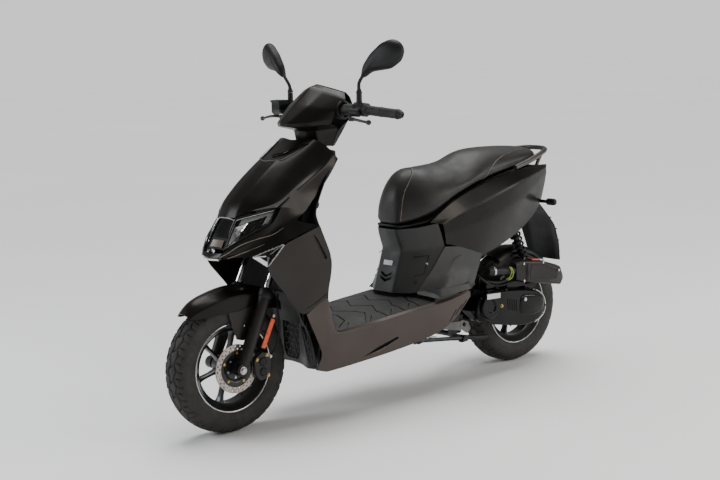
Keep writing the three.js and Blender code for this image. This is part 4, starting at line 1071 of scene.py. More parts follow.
def lower_front():
    """The panel behind the front wheel, with honeycomb vents over dark backs."""
    rows = both_sides([
        [(0, -376, 545), (62, -378, 545), (118, -402, 540), (157, -452, 532)],
        [(0, -384, 480), (60, -386, 480), (116, -424, 474), (159, -474, 464)],
        [(0, -386, 400), (56, -390, 396), (112, -436, 390), (160, -474, 386)],
        [(0, -386, 290), (52, -390, 288), (106, -420, 284), (160, -428, 282)],
        [(0, -384, 182), (48, -386, 180), (100, -400, 177), (146, -400, 181)],
    ])
    middle = [(-46, 384), (46, 384), (44, 215), (30, 194), (-30, 194), (-44, 215)]
    windows = [slab(rounded(middle, 10), -520, -360, "y")]
    for _, side in SIDES:
        outer = [(side * 112, 330), (side * 156, 330), (side * 150, 200), (side * 132, 190),
                 (side * 114, 205)]
        windows.append(slab(rounded(outer, 9), -520, -360, "y"))
    shell("lower_front_panel", rows, (0, 300, 400), PLASTIC, "chassis", ["splash_panel"], 3,
          0.3, (), (), 3, windows)
    backs = [box((-52, -374, 186), (52, -368, 392))]
    honeycomb((((-48, -382, 388), (48, -382, 388)), ((-48, -381, 190), (48, -381, 190))), 13, 1.7, PLASTIC,
              "vent_middle",
              "chassis")
    for name, side in SIDES:
        backs.append(loft([flipped([(104, -405, 336), (160, -452, 336), (154, -404, 184), (104, -386, 184)],
                                   side),
                           flipped([(104, -399, 336), (160, -446, 336), (154, -398, 184), (104, -380, 184)],
                                   side)]))
        top = (side * 106, -420, 334), (side * 158, -462, 334)
        low = (side * 106, -399, 186), (side * 152, -404, 186)
        honeycomb((top, low), 12, 1.6, PLASTIC, f"vent_outer_{name}", "chassis")
    build("vent_shadows", backs, BLACK, "chassis")


def leg_shields():
    """Outer shields with a slot and a black plate of painted shade behind each, and the inner shield with its
    hatch and bag hook.
    """
    rows = [
        [(191, -527, 622), (202, -462, 645), (207, -404, 664)],
        [(177, -592, 549), (197, -480, 560), (209, -366, 556)],
        [(172, -540, 470), (189, -452, 476), (201, -366, 486)],
        [(166, -480, 389), (178, -450, 382), (190, -375, 426)],
    ]
    slot = [(-431, 640), (-418, 627), (-382, 560), (-384, 553), (-392, 556), (-424, 612)]
    for name, side in SIDES:
        cutter = slab(rounded(slot, 3), side * 190, side * 224)
        # Painted shade: the outer shields take the bronze's darker copy, darkened because they face away from
        # the light.
        shell(f"leg_shield_panel_{name}", [flipped(r, side) for r in rows], (0, -400, 520), CHARCOAL_AND_SHADED_BRONZE,
              "chassis",
              [f"leg_shield_{name}"], 3, 0.25, (), (), 4, [cutter])
        # Painted shade: a black plate behind each slot stands for the shade inside it.
        back = [(side * 202, y, z) for y, z in ((-436, 646), (-372, 560), (-372, 545), (-398, 548),
                                                (-436, 610))]
        build(f"shield_slot_{name}", [leaf(back, side)], BLACK, "chassis")
        fold = flipped([(181, -450, 398), (186.5, -414, 414), (193.5, -376, 437)], side)
        build(f"shield_fold_{name}", [tube(fold, (0.9, 1.1, 0.9), 8, 6)], CHARCOAL_AND_SHADED_BRONZE, "chassis")
    inner = both_sides([
        [(0, -190, 882), (50, -204, 881), (105, -246, 868), (147, -278, 855)],
        [(0, -232, 800), (52, -248, 800), (108, -296, 800), (162, -337, 802)],
        [(0, -282, 700), (54, -300, 700), (112, -350, 700), (184, -398, 712)],
        [(0, -306, 640), (56, -322, 640), (124, -356, 640), (200, -402, 668)],
        [(0, -320, 540), (58, -330, 540), (130, -348, 540), (203, -360, 548)],
        [(0, -326, 430), (58, -332, 430), (128, -344, 430), (185, -366, 424)],
        [(0, -322, 350), (58, -326, 348), (122, -334, 344), (168, -342, 336)],
    ])
    shell("inner_shield", inner, (0, -700, 560), PLASTIC, "chassis", ["inner_leg_shield"], 3,
          0.3, (3,), (2, 4), 3)
    hatch = rounded([(-56, 690), (56, 690), (62, 640), (52, 560), (-52, 560), (-62, 640)], 12)

    def on_inner(p, lift):
        y = np.interp(p.y, [540, 640, 700], [-320, -306, -282]) - abs(p.x) * 0.27
        return (p.x, y + lift, p.y)
    build("glove_hatch", [loft([[on_inner(p, 0.5) for p in hatch], [on_inner(p, 3.2) for p in hatch]])],
          PLASTIC, "chassis",
          (), 38, 1.2)
    hook = [(0, -292, 716), (0, -262, 716), (0, -250, 706), (0, -252, 694), (0, -262, 690)]
    build("bag_hook", [tube(hook, 4.2, 12), stack((0, -296, 716), (0, -280, 716),
                                                  [(0, 10), (0.7, 10), (1, 8)])], BLACK, "chassis", (),
          40)


front_cover()
headlight()
indicators()
lower_front()
leg_shields()


# ------------------------------------------------------------------ floor and skirts
def skirts():
    """Bronze side skirts, cut by a scoop and three slots."""
    rows = [
        [(176, -451, 377), (190, -373, 423), (180, -338, 306), (175, -150, 312), (176, 0, 324),
         (178, 147, 334), (184, 262, 352)],
        [(180, -411, 276), (187, -368, 300), (186, -326, 294), (186, -150, 302), (187, 0, 314),
         (189, 150, 324), (188, 270, 346)],
        [(164, -388, 226), (172, -364, 230), (176, -330, 236), (178, -190, 240), (178, -20, 252),
         (184, 152, 280), (187, 272, 336)],
        [(150, -404, 179), (158, -366, 168), (162, -330, 170), (165, -220, 177), (165, -44, 191),
         (178, 155, 232), (184, 274, 326)],
    ]
    for name, side in SIDES:
        scoop = slab(rounded([(-216, 192), (-150, 217), (-66, 238), (-60, 232), (-120, 210)], 3), side * 150,
                     side * 196)
        slots = []
        for k in range(3):
            y = 172 + 26 * k
            slots.append(slab(rounded([(y, 252 + 18 * k), (y + 30, 292 + 14 * k), (y + 34, 290 + 14 * k),
                                       (y + 4, 250 + 18 * k)], 2), side * 160, side * 200))
        shell(f"skirt_{name}", [flipped(r, side) for r in rows], (0, 0, 260), BRONZE, "chassis",
              [f"side_skirt_{name}"], 3, 0.15,
              (1,), (1, 2), 3, [scoop, *slots])
        back = flipped([(160, -235, 180), (158, -50, 222), (168, -40, 248), (168, -235, 220)], side)
        build(f"scoop_shadow_{name}", [leaf(back, side)], BLACK, "chassis")
        lip = flipped([(165.5, -228, 186), (168, -140, 202), (173, -62, 230)], side)
        build(f"scoop_lip_{name}", [tube(lip, (0.8, 1.8, 0.8), 8, 8)], BRONZE, "chassis")
        edge = flipped([(185.5, 119, 322), (182, 82, 276), (172.5, -28, 240), (169, -110, 206)], side)
        build(f"skirt_edge_{name}", [tube(edge, (0.7, 1.3, 0.7), 8, 8)], BRONZE, "chassis")
        seal = flipped([(181, -330, 303), (176, -290, 303), (173.5, -150, 310), (174, 0, 322),
                        (176, 118, 331)], side)
        build(f"skirt_seal_{name}", [tube(seal, 2.6, 8, 8)], BLACK, "chassis")


def floor_mat():
    """The rubber mat, with its zigzag grooves cut in."""
    base = both_sides([
        [(0, -316, 322), (60, -318, 320), (130, -326, 309), (169, -334, 299)],
        [(0, -200, 326), (60, -200, 325), (130, -200, 318), (171, -200, 306)],
        [(0, -60, 338), (60, -60, 338), (130, -60, 330), (171, -60, 316)],
        [(0, 60, 350), (60, 60, 349), (130, 60, 342), (172, 60, 326)],
        [(0, 118, 352), (60, 118, 351), (130, 118, 344), (173, 118, 331)],
    ])
    grooves = []

    def groove(points, width=4.5):
        for a, b in zip(points, points[1:]):
            a, b = Vector((*a, 0)), Vector((*b, 0))
            along = (b - a).normalized()
            across = Vector((-along.y, along.x, 0)) * width / 2
            a, b = a - along * width * 0.4, b + along * width * 0.4
            ring = [a - across, b - across, b + across, a + across]
            low = [Vector((p.x, p.y, height(p.x, p.y) - 3.4)) for p in ring]
            high = [Vector((p.x, p.y, height(p.x, p.y) + 9)) for p in ring]
            grooves.append(loft([low, high]))

    def height(x, y):
        row = np.interp(y, [-334, -200, -60, 60, 118], [318, 326, 338, 350, 352])
        return row - np.interp(abs(x), [0, 60, 130, 171], [0, 1, 8.5, 21])
    lines = [
        [(0, -268), (52, -232), (118, -250), (150, -300)],
        [(0, -206), (60, -168), (104, -150), (164, -196)],
        [(0, -128), (70, -86), (118, -112), (168, -100)],
        [(0, -44), (66, -8), (112, -34), (168, -22)],
        [(0, 30), (60, 62), (120, 34), (168, 44)],
    ]
    for line in lines:
        groove(line)
        groove([(-x, y) for x, y in line])
    for side in (1, -1):
        for y in (-250, -150, -60, 20):
            groove([(side * 140, y), (side * 166, y - 26)], 3)
    shell("floor_mat", base, (0, -100, 0), FLOOR, "chassis", ["floorboard"], 8, 0.3, (), (),
          3, grooves, 0.6)


def floor_pan():
    """The tray under the mat, which closes the floor from below."""
    rows = both_sides([
        [(0, -318, 296), (80, -318, 294), (150, -326, 284)],
        [(0, -60, 316), (80, -60, 314), (168, -60, 300)],
        [(0, 118, 330), (80, 118, 328), (170, 118, 316)],
    ])
    shell("floor_pan", rows, (0, -100, 500), BLACK, "chassis", (), 2.5, 0.3, (), (), 2)
    lining = [(108, 96, 372), (110, 210, 372), (110, 330, 380), (110, 352, 438), (110, 436, 448),
              (110, 430, 500),
              (104, 210, 560), (96, 130, 560)]
    linings = []
    for _, side in SIDES:
        loop = flipped(lining, side)
        linings.append(leaf(loop, side))
    build("body_lining", linings, BLACK, "chassis")
    wells = both_sides([
        [(0, -330, 300), (60, -334, 300), (130, -360, 292), (160, -392, 288)],
        [(0, -356, 186), (60, -360, 184), (110, -372, 180), (152, -396, 184)],
    ])
    shell("front_undertray", wells, (0, 300, 240), BLACK, "chassis", (), 2.5, 0.3, (), (), 2)


skirts()
floor_mat()
floor_pan()


# ------------------------------------------------------------------ body under the seat
def tunnel():
    """The cover below the seat's front, with two chevrons and a service door on each flank."""
    rows = both_sides([
        [(0, 48, 582), (49, 53, 582), (100, 104, 586), (142, 168, 598)],
        [(0, 52, 560), (49, 56, 560), (102, 112, 558), (145, 180, 560)],
        [(0, 69, 508), (52, 73, 507), (108, 126, 506), (147, 190, 514)],
        [(0, 44, 430), (50, 48, 430), (106, 96, 430), (136, 134, 436)],
        [(0, 20, 362), (49, 24, 361), (92, 52, 360), (122, 76, 362)],
    ])
    chevrons = []
    for drop in (0, 15):
        z = 430 - drop
        chevrons.append(slab([(-30, z), (0, z - 11), (30, z), (27, z - 11), (0, z - 22), (-27, z - 11)], 0,
                             70, "y"))
    shell("tunnel_shell", rows, (0, 250, 470), PLASTIC, "chassis", ["tunnel_cover"], 3, 0.35,
          (2,), (2, 4), 3, chevrons)
    build("chevron_shadow", [box((-34, 50, 384), (34, 54, 430))], BLACK, "chassis")

    def on_flank(y, z, lift):
        """A point on the tunnel's slanted left flank, lifted off it."""
        table = [(362, 92, 52, 122, 76), (430, 106, 96, 136, 134), (507, 108, 126, 147, 190)]
        zs = [t[0] for t in table]
        x0, y0, x1, y1 = (np.interp(z, zs, [t[k] for t in table]) for k in (1, 2, 3, 4))
        share = (y - y0) / (y1 - y0)
        return Vector((x0 + (x1 - x0) * share + 0.7 * lift, y - 0.7 * lift, z))
    for name, side in SIDES:
        door = [on_flank(y, z, 0.9) for y, z in ((92, 482), (140, 486), (112, 424), (84, 418))]
        corners = [Vector((side * p.x, p.y, p.z)) for p in door]
        seams = [tube([corners[0], corners[1]], 1.3, 8, 0), tube([corners[1], corners[2]], (2.6, 1.5), 8, 0),
                 tube([corners[2], corners[3]], 1.3, 8, 0)]
        build(f"service_door_{name}", seams, BLACK, "chassis")
        catch = corners[1].lerp(corners[2], 0.45)
        build(f"door_latch_{name}", [bolt(catch, (side * 0.7, -0.7, 0), 3.4, 1.6, 16)], ZINC, "chassis")
        screw = on_flank(84, 396, 0.5)
        screw.x *= side
        build(f"tunnel_screw_{name}", [bolt(screw, (side * 0.7, -0.7, 0), 5, 2, 16)], BLACK, "chassis")
    sticker = [(-23, 0, 452), (23, 0, 452), (23, 0, 468), (-23, 0, 468)]
    front = [Vector((x, np.interp(z, [430, 508], [44, 69]) - 1.2, z)) for x, _, z in sticker]
    build("blank_sticker", [loft([front, [p + Vector((0, 1.4, 0)) for p in front]])], LABEL, "chassis")


def side_covers():
    """Side covers with the passenger steps, and the tail fairings above them."""
    rows = [
        [(149, 192, 513), (152, 260, 506), (152, 322, 492), (150, 372, 464)],
        [(138, 136, 437), (160, 224, 430), (163, 290, 420), (154, 352, 424)],
        [(124, 80, 370), (174, 150, 366), (186, 240, 362), (160, 322, 372)],
        [(128, 70, 360), (188, 118, 342), (190, 262, 356), (164, 318, 360)],
    ]
    tail = [
        [(130, 140, 603), (138, 236, 660), (134, 346, 698), (126, 460, 724), (112, 590, 742), (94, 700, 750),
         (76, 800, 746)],
        [(150, 184, 594), (157, 300, 630), (155, 424, 660), (147, 541, 690), (128, 640, 712), (104, 720, 724),
         (80, 794, 734)],
        [(153, 190, 560), (158, 300, 570), (156, 420, 590), (144, 545, 620), (122, 650, 655), (98, 735, 690),
         (76, 798, 712)],
        [(151, 196, 522), (153, 290, 494), (148, 379, 462), (121, 533, 490), (94, 662, 534), (78, 752, 594),
         (71, 794, 676)],
    ]
    for name, side in SIDES:
        shell(f"side_cover_{name}", [flipped(r, side) for r in rows], (0, 230, 430), PLASTIC, "chassis",
              [f"side_panel_{name}"], 3, 0.35, (2,), (1,), 3)
        top = [(118, 84, 369), (146, 112, 375), (172, 140, 372), (187, 262, 376), (160, 300, 384),
               (118, 220, 374)]
        low = [(126, 70, 352), (150, 96, 351), (188, 128, 347), (193, 268, 355), (166, 306, 356),
               (118, 220, 352)]
        rings = [flipped([(x, y, z) for x, y, z in rounded(ring, 7)], side) for ring in (low, top)]
        build(f"passenger_step_{name}", [loft(rings)], PLASTIC, "chassis", (), 35, 1.6)
        tread = [flipped([(x - 6, y + 3, z + lift) for x, y, z in rounded(top[1:5], 5)], side)
                 for lift in (-1, 2.2)]
        build(f"step_tread_{name}", [loft(tread)], FLOOR, "chassis", (), 35, 0.8)
        recess = flipped([(166.5, 158, 404), (166, 200, 440), (161.5, 226, 466), (157, 262, 474)], side)
        build(f"cover_line_{name}", [tube(recess, (0.7, 1.1, 0.7), 8, 8)], BLACK, "chassis")
        shell(f"tail_{name}", [flipped(r, side) for r in tail], (0, 450, 600), PAINT, "chassis",
              [f"tail_fairing_{name}"], 3, 0.2, (1, 2), (), 3)
        crest = flipped([(150, 184, 594), (157, 300, 630), (155, 424, 660), (147, 541, 690), (128, 640, 712),
                         (104, 720, 724)], side)
        build(f"tail_crest_{name}", [tube(crest, (0.8, 1.5, 1.2, 1.5, 0.7), 10, 8)], PAINT, "chassis")


def rear_end():
    """Tail lamp, grab rail, plate holder and rear indicators, and the tail's underside."""
    lamp_rings = [[(-66, high, 741), (66, high, 741), (60, low, 691), (-60, low, 691)]
                  for high, low in ((779, 779), (798, 804))]
    build("tail_lamp", [loft(lamp_rings)], BLACK, "chassis", ["tail_light"], 30, 2)
    cells = []
    for row in range(3):
        for col in range(7):
            x = -51 + 17 * col
            z = 700 + 14 * row
            y = 804.2 - (z - 691) * 0.12
            cells.append(slab([(x - 7.6, z - 6), (x + 7.6, z - 6), (x + 7.6, z + 6), (x - 7.6, z + 6)], y - 8,
                              y, "y"))
    build("tail_lens_cells", cells, RED, "chassis", (), 30, 0.9)
    rail = [(129, 574, 756), (122, 640, 769), (108, 710, 785), (88, 776, 799), (50, 812, 804), (0, 820, 805)]
    rail += [(-x, y, z) for x, y, z in rail[-2::-1]]
    posts = [tube([(s * 52, 810, 803), (s * 55, 788, 778), (s * 56, 756, 728), (s * 56, 746, 692)], 7, 16)
             for s in (1, -1)]
    build("grab_handle", [tube(rail, 9, 20, 8), *posts], BRONZE, "chassis", ["grab_rail"], 50)
    plate = both_sides([
        [(0, 748, 640), (40, 746, 636), (62, 740, 628)], [(0, 786, 590), (48, 784, 588), (80, 772, 580)],
        [(0, 836, 520), (56, 834, 518), (92, 820, 512)], [(0, 858, 440), (56, 856, 440), (90, 846, 438)],
        [(0, 869, 366), (52, 868, 366), (80, 862, 368)],
    ])
    shell("plate_holder", plate, (0, 0, 500), BLACK, "chassis", ["plate_bracket"], 4, 0.4, (),
          (), 3)
    ribs = []
    for x in (-54, -18, 18, 54):
        spine = [(x, 814, 548), (x, 835, 520), (x, 856, 440), (x * 0.96, 866, 378)]
        ribs.append(tube([Vector(p) + Vector((0, 1.5 - abs(x) * 0.03, 0)) for p in spine], 2.4, 8, 6))
    for z, y, x in ((538, 823, 76), (492, 846, 84), (446, 858, 84), (402, 866, 78)):
        ribs.append(tube([(-x, y - 4, z), (-x / 2, y, z), (0, y + 1, z), (x / 2, y, z), (x, y - 4, z)], 2.4,
                         8, 6))
    build("plate_ribs", ribs, PLASTIC, "chassis")
    build("plate_screws", [bolt((side * 32, 853, 470), (0, 1, -0.2), 5, 3) for side in (1, -1)], ZINC,
          "chassis")
    stalks, lamps, bezels = [], [], []
    for side in (1, -1):
        stalks.append(tube([(side * 40, 776, 606), (side * 80, 774, 606), (side * 112, 774, 606)], (7, 6),
                           16))
        a, b = Vector((side * 97, 774, 606)), Vector((side * 139.5, 778, 606))
        across, up = Vector((0, 10, 0)), Vector((0, 0, 13))

        def pod(t, s, a=a, b=b, across=across, up=up):
            return circle(a.lerp(b, t), across * s, up * s, 24)
        bezels.append(loft([pod(t, s) for t, s in ((0, 0.55), (0.1, 0.95), (0.5, 1.04), (0.85, 0.98),
                                                   (0.96, 0.8), (1, 0.5))]))
        lamps.append(slab(rounded([(a.x + side * 6, 598), (b.x - side * 5, 598), (b.x - side * 5, 614),
                                   (a.x + side * 6, 614)], 5), 783, 788.5, "y"))
    build("rear_indicator_stalks", [*stalks, *bezels], BLACK, "chassis", (), 35)
    build("rear_indicator_lenses", lamps, AMBER, "chassis", (), 35)
    build("rear_reflector", [slab(rounded([(-34, 500), (34, 500), (34, 521), (-34, 521)], 5), 842, 850, "y")],
          RED, "chassis", (), 30, 1)
    finish_node("seat_bucket", BLACK)
    finish_node("fuel_tank", FRAME)
    for node in ("frame_rail_left", "frame_rail_right", "frame_neck"):
        finish_node(node, FRAME)
    underside = both_sides([
        [(0, 560, 560), (60, 560, 556), (112, 560, 500)], [(0, 660, 600), (50, 660, 596), (86, 664, 540)],
        [(0, 740, 646), (42, 742, 640), (70, 756, 604)],
    ])
    shell("tail_underside", underside, (0, 600, 800), BLACK, "chassis", (), 2.5, 0.3)


tunnel()
side_covers()
rear_end()


# ------------------------------------------------------------------ seat
SEAT = [(50, 594, 640, 52, 40), (62, 592, 706, 64, 46), (92, 593, 762, 82, 52), (136, 604, 790, 120, 66),
        (190, 626, 790, 138, 84),
        (250, 668, 785, 144, 96), (310, 690, 786, 142, 96), (370, 708, 802, 138, 92),
        (425, 720, 828, 132, 86), (480, 731, 836, 127, 82),
        (580, 746, 834, 116, 76), (690, 761, 828, 98, 68), (772, 776, 814, 78, 56)]


def padded_seat():
    """Foam under a vinyl cover, blown up a little by a cloth simulation, then seamed and stitched."""
    shrink = 4.0
    rings = []
    for y, low, high, half_low, half_high in SEAT:
        low, high, half_low, half_high = low + 1.5, high - shrink, half_low - shrink, half_high - shrink
        y = min(max(y, 50 + shrink), 772 - shrink)
        tall = high - low
        half = [(half_low * 0.9, low), (half_low, low + tall * 0.15), (half_low * 0.97, low + tall * 0.5),
                (half_high, low + tall * 0.86), (half_high * 0.55, high - 3)]
        rings.append([(x, y, z) for x, z in half] + [(0, y, high)] + [(-x, y, z) for x, z in reversed(half)])
    seat = build("seat_cover", [loft(rings)], VINYL, "saddle", ["seat"], 80)
    smooth = seat.modifiers.new("Subdivision", "SUBSURF")
    smooth.levels = smooth.render_levels = 2
    remesh = seat.modifiers.new("Remesh", "REMESH")
    remesh.mode = "VOXEL"
    remesh.voxel_size = VOXEL
    settle(seat)
    swell(seat, SWELL_CAP)
    smooth = seat.modifiers.new("Smooth", "CORRECTIVE_SMOOTH")
    smooth.iterations = 6
    smooth.use_only_smooth = True
    smooth = seat.modifiers.new("Subdivision", "SUBSURF")
    smooth.levels = smooth.render_levels = 1
    settle(seat)
    seat.data.shade_smooth()
    return seat


def swell(obj, cap):
    """Blows the cover up from inside, its foot held, and lets no point move further than cap metres."""
    scene = bpy.context.scene
    rest = [v.co.copy() for v in obj.data.vertices]
    held = obj.vertex_groups.new(name="held")
    for i, point in enumerate(rest):
        foot = np.interp(point.y / MM, [s[0] for s in SEAT], [s[1] for s in SEAT]) * MM
        weight = max(0.0, min(1.0, 1 - (point.z - foot - 0.012) / 0.03))
        held.add([i], weight, "REPLACE")
    cloth = obj.modifiers.new("Cloth", "CLOTH")
    settings = cloth.settings
    settings.use_pressure = True
    settings.uniform_pressure_force = CLOTH_PRESSURE
    settings.effector_weights.gravity = 0
    settings.vertex_group_mass = "held"
    scene.frame_start, scene.frame_end = 1, CLOTH_STEPS
    for step in range(1, CLOTH_STEPS + 1):
        scene.frame_set(step)
    done = obj.evaluated_get(bpy.context.evaluated_depsgraph_get()).data
    moved = [v.co.copy() for v in done.vertices]
    obj.modifiers.clear()
    scene.frame_set(1)
    for vertex, start, end in zip(obj.data.vertices, rest, moved):
        shift = end - start
        if shift.length > cap:
            shift = shift.normalized() * cap
        vertex.co = start + shift
    obj.data.update()


def seat_seams(seat):
    """Lines of thread laid on the cover, found by looking outwards from inside the foam."""
    tree = BVHTree.FromPolygons([v.co[:] for v in seat.data.vertices],
                                [p.vertices[:] for p in seat.data.polygons])

    def trace(knots, shift=0.0, side=1, count=110):
        """Points on the cover; knots are (station, degrees from straight up)."""
        points = []
        for k in range(count + 1):
            t = k / count * (len(knots) - 1)
            y = np.interp(t, range(len(knots)), [q[0] for q in knots]) + shift
            angle = math.radians(np.interp(t, range(len(knots)), [q[1] for q in knots])) * side
            core = np.interp(y, [q[0] for q in SEAT], [(q[1] + q[2]) / 2 for q in SEAT])
            hit, normal, _, _ = tree.ray_cast(Vector((0, y, core)) * MM,
                                              Vector((math.sin(angle), 0, math.cos(angle))))
            if hit:
                points.append((hit / MM, normal))
        return points

    def dashes(points, offset):
        parts = []
        for (a, na), (b, nb) in zip(points[::2], points[1::2]):
            parts.append(tube([a + na * offset, (a + b) / 2 + (na + nb) * (offset + 0.5) / 2,
                               b + nb * offset], (0.5, 0.9, 0.5), 8, 3))
        return parts

    def piping(points):
        return tube([p + n * 0.2 for p, n in points], 1.3, 8, 0)
    front = [(168, 0), (160, 12), (146, 26), (122, 40), (92, 55), (76, 72), (68, 92), (63, 112), (62, 126)]
    rear = [(408, 118), (424, 112), (440, 106), (460, 99), (500, 90), (545, 83), (600, 79), (667, 75),
            (735, 66)]
    seams = [trace(knots, 0, side) for knots in (front, rear) for _, side in SIDES]
    threads = [trace(front, 5, side) for _, side in SIDES] + [trace(rear, -6, side) for _, side in SIDES]
    build("seat_stitches", [dash for line in threads for dash in dashes(line, 0.2)], THREAD, "saddle")
    build("seat_piping", [piping(line) for line in seams], VINYL, "saddle")
    pan = []
    for share, drop in ((0.93, -3.5), (0.96, 3.0)):
        rim = [Vector((half * share, min(max(y, 54), 768), low + drop)) for y, low, _, half, _ in SEAT]
        pan.append(rim + [Vector((-p.x, p.y, p.z)) for p in reversed(rim)])
    build("seat_pan", [loft(pan)], BLACK, "saddle", (), 40)


seat = padded_seat()
seat_seams(seat)


# ------------------------------------------------------------------ engine, rear suspension, exhaust and stands
CVT = [(346, 250), (362, 215), (400, 196), (470, 182), (520, 172), (590, 160), (650, 162), (700, 184),
       (716, 220), (704, 262),
       (660, 290), (590, 302), (500, 312), (410, 318), (364, 300)]


def scaled(outline, share, middle=(530, 238)):
    """The outline shrunk towards the transmission cover's middle."""
    return [((y - middle[0]) * share + middle[0], (z - middle[1]) * share + middle[1]) for y, z in outline]


def engine():
    """Transmission cover, airbox and intake, hoses, cylinder fins, fan and rear hugger."""
    finish_node("engine_case", ENGINE)
    edge = rounded(CVT, 22, 5)

    def ring(share, x):
        return [(x, *p) for p in scaled(edge, share)]
    cover = [ring(s, x) for s, x in ((1, 112), (1, 128), (0.985, 135), (0.95, 139), (0.93, 140), (0.92, 145),
                                     (0.90, 147))]
    build("cvt_shell", [loft(cover)], ENGINE, "engine", ["cvt_cover"], 30, 0.8)
    dome = turned([(0.5, 146), (47, 146), (46, 153), (42, 155.5), (24, 155.5), (20, 150), (0.5, 150)],
                  (0, 409, 263), 72)
    build("cvt_dome", [dome], ENGINE, "engine", (), 32, 0.6)
    hump = [[(x, *p) for p in rounded([(560 - g, 214 - g), (640 + g, 196 - g), (690 + g, 214), (690 + g, 258),
                                       (640, 274 + g), (570 - g, 280 + g)], 20)]
            for g, x in ((3, 146), (0, 150), (-5, 152))]
    fins = [box((146, 500 + 11 * k, 236 - 3 * k), (149, 504 + 11 * k, 278 - 3 * k)) for k in range(5)]
    build("cvt_relief", [loft(hump), *fins], ENGINE, "engine", (), 32, 0.8)
    rim_arc = [(138, y, z) for y, z in [(p.x, p.y) for p in map(Vector, scaled(edge, 0.985)) if p.x > 640]]
    build("cvt_gasket", [tube(rim_arc, 2.6, 10, 0)], ZINC, "engine")
    around = [p for i, p in enumerate(scaled(CVT, 0.955)) if i % 2 == 0]
    build("cvt_screws", [bolt((138, y, z), (1, 0, 0), 4, 4) for y, z in around], FRAME, "engine")
    build("cvt_gold_bolts", [bolt((146, 468, 256), (1, 0, 0), 5, 6), bolt((138, 690, 196), (1, 0, 0), 4, 5)],
          GOLD, "engine")
    build("cvt_filler", [bolt((150, 590, 262), (1, 0, 0), 7, 3, 20)], ZINC, "engine")
    pad = [(382, 315), (458, 311), (457, 287), (381, 291)]
    sticker = [(386, 312), (453, 308.5), (452, 290), (385, 293.5)]
    build("cvt_label_pad", [slab(pad, 140, 156.4)], ENGINE, "engine", (), 35, 1.5)
    build("cvt_label", [slab(sticker, 156, 157.2)], LABEL, "engine")
    filler = [box((64, 540, 300), (104, 640, 330)), box((70, 430, 318), (108, 520, 342)),
              box((60, 640, 290), (100, 700, 308))]
    build("belt_case_top", filler, ENGINE, "engine", (), 35, 3)
    box_rings = [
        [(106, 556, 338), (138, 556, 338), (138, 556, 400), (106, 556, 404)],
        [(106, 600, 322), (142, 600, 322), (142, 600, 404), (106, 600, 409)],
        [(106, 700, 304), (142, 700, 304), (142, 700, 391), (106, 700, 395)],
        [(106, 796, 285), (139, 800, 287), (139, 796, 356), (106, 790, 365)],
        [(108, 820, 299), (129, 824, 301), (129, 822, 321), (108, 818, 325)],
    ]
    soft_rings = []
    for r in box_rings:
        y = r[0][1]
        pts = rounded([(p[0], p[2]) for p in r], 9, 3)
        soft_rings.append([(p.x, y + (p.x - 106) * 0.1, p.y) for p in pts])
    build("airbox_case", [loft(soft_rings)], FORK, "engine", ["airbox"], 34, 1.2)
    panel = [[(x, *p) for p in rounded([(622 + g, 332), (690, 320 + g), (776 - g, 308 + g),
                                        (778 - g, 344 - g), (700, 378 - g), (632 + g, 386 - g)], 10)] for g,
             x in ((0, 140.5), (3, 143.6))]
    build("airbox_panel", [loft(panel)], FORK, "engine", (), 34, 1)
    ribs = [tube([(142, 606 + 9 * k, 396 - 2 * k), (143.4, 607 + 9 * k, 360),
                  (142, 606 + 9 * k, 326 - 2 * k)], 1.4, 8, 4) for k in range(2)]
    screws = [bolt((142, y, z), (1, 0, 0), 3.6, 2.4, 12) for y,
              z in ((596, 394), (596, 330), (786, 344), (700, 386))]
    build("airbox_ribs", ribs, FORK, "engine")
    build("airbox_screws", screws, ZINC, "engine")
    build("airbox_label", [slab([(646, 406), (690, 399), (688, 395), (646, 401)], 108, 136)], LABEL_RED,
          "engine")
    build("airbox_label_end", [slab([(690, 399), (714, 395), (712, 391), (688, 395)], 108, 136)], LABEL,
          "engine")
    duct = stack((124, 420, 388), (122, 556, 372),
                 [(0, 15), (0.03, 17), (0.3, 17), (0.34, 15.6), (0.38, 17), (0.62, 17), (0.66, 15.2),
                  (0.70, 16.4),
                                                   (0.74, 15.2), (0.78, 16.4), (0.82, 15.2), (0.9, 16),
                  (1, 15)], 36)
    build("intake_duct", [duct], BLACK, "engine", (), 30)
    build("duct_clamp", [turned([(18, -4), (18, 4), (17, 4), (17, -4)], (0, 0, 0), 40)], ZINC, "engine")
    clamp = bpy.data.objects["duct_clamp"]
    turn = Matrix.Rotation(math.pi / 2 - 0.118, 4, "Z")
    for vertex in clamp.data.vertices:
        vertex.co = turn @ vertex.co + Vector((123.5, 452, 384.5)) * MM
    wires = [tube([(140, 528, 392), (146, 534, 372), (143, 528, 352), (136, 516, 344)], 2.2, 10),
             tube([(138, 522, 394), (143, 528, 376), (140, 522, 356), (133, 510, 348)], 1.8, 10)]
    build("duct_wires", wires, WIRE, "engine")
    hose = [tube([(120, 560, 350), (112, 500, 336), (104, 452, 342), (84, 420, 356)], 7, 14),
            tube([(96, 610, 322), (104, 560, 328), (112, 506, 322), (100, 450, 326)], 4, 12)]
    build("engine_hoses", hose, BLACK, "engine")
    breather = [(130, 420, 340), (116, 392, 370), (90, 380, 396), (66, 372, 414)]
    build("breather_hose", [tube(breather, 4.5, 12)], BLACK, ("engine", "chassis", breather[0], breather[-1]))
    head = [box((-38, 214 + 7 * k, 228), (36, 217 + 7 * k, 304)) for k in range(7)]
    build("cylinder_fins", [*head, box((-30, 206, 236), (28, 262, 296))], CASTING, "engine",
          (), 35, 0.8)
    cowl = turned([(64, -122), (67, -118), (70, -92), (60, -92), (56, -119), (40, -121), (36, -118),
                   (0.5, -118), (0.5, -122), (34, -124), (58, -124)], (0, 408, 262), 72)
    build("fan_cowl", [cowl], ENGINE, "engine", (), 32, 0.6)
    vanes = []
    for k in range(16):
        a = 2 * math.pi * k / 16
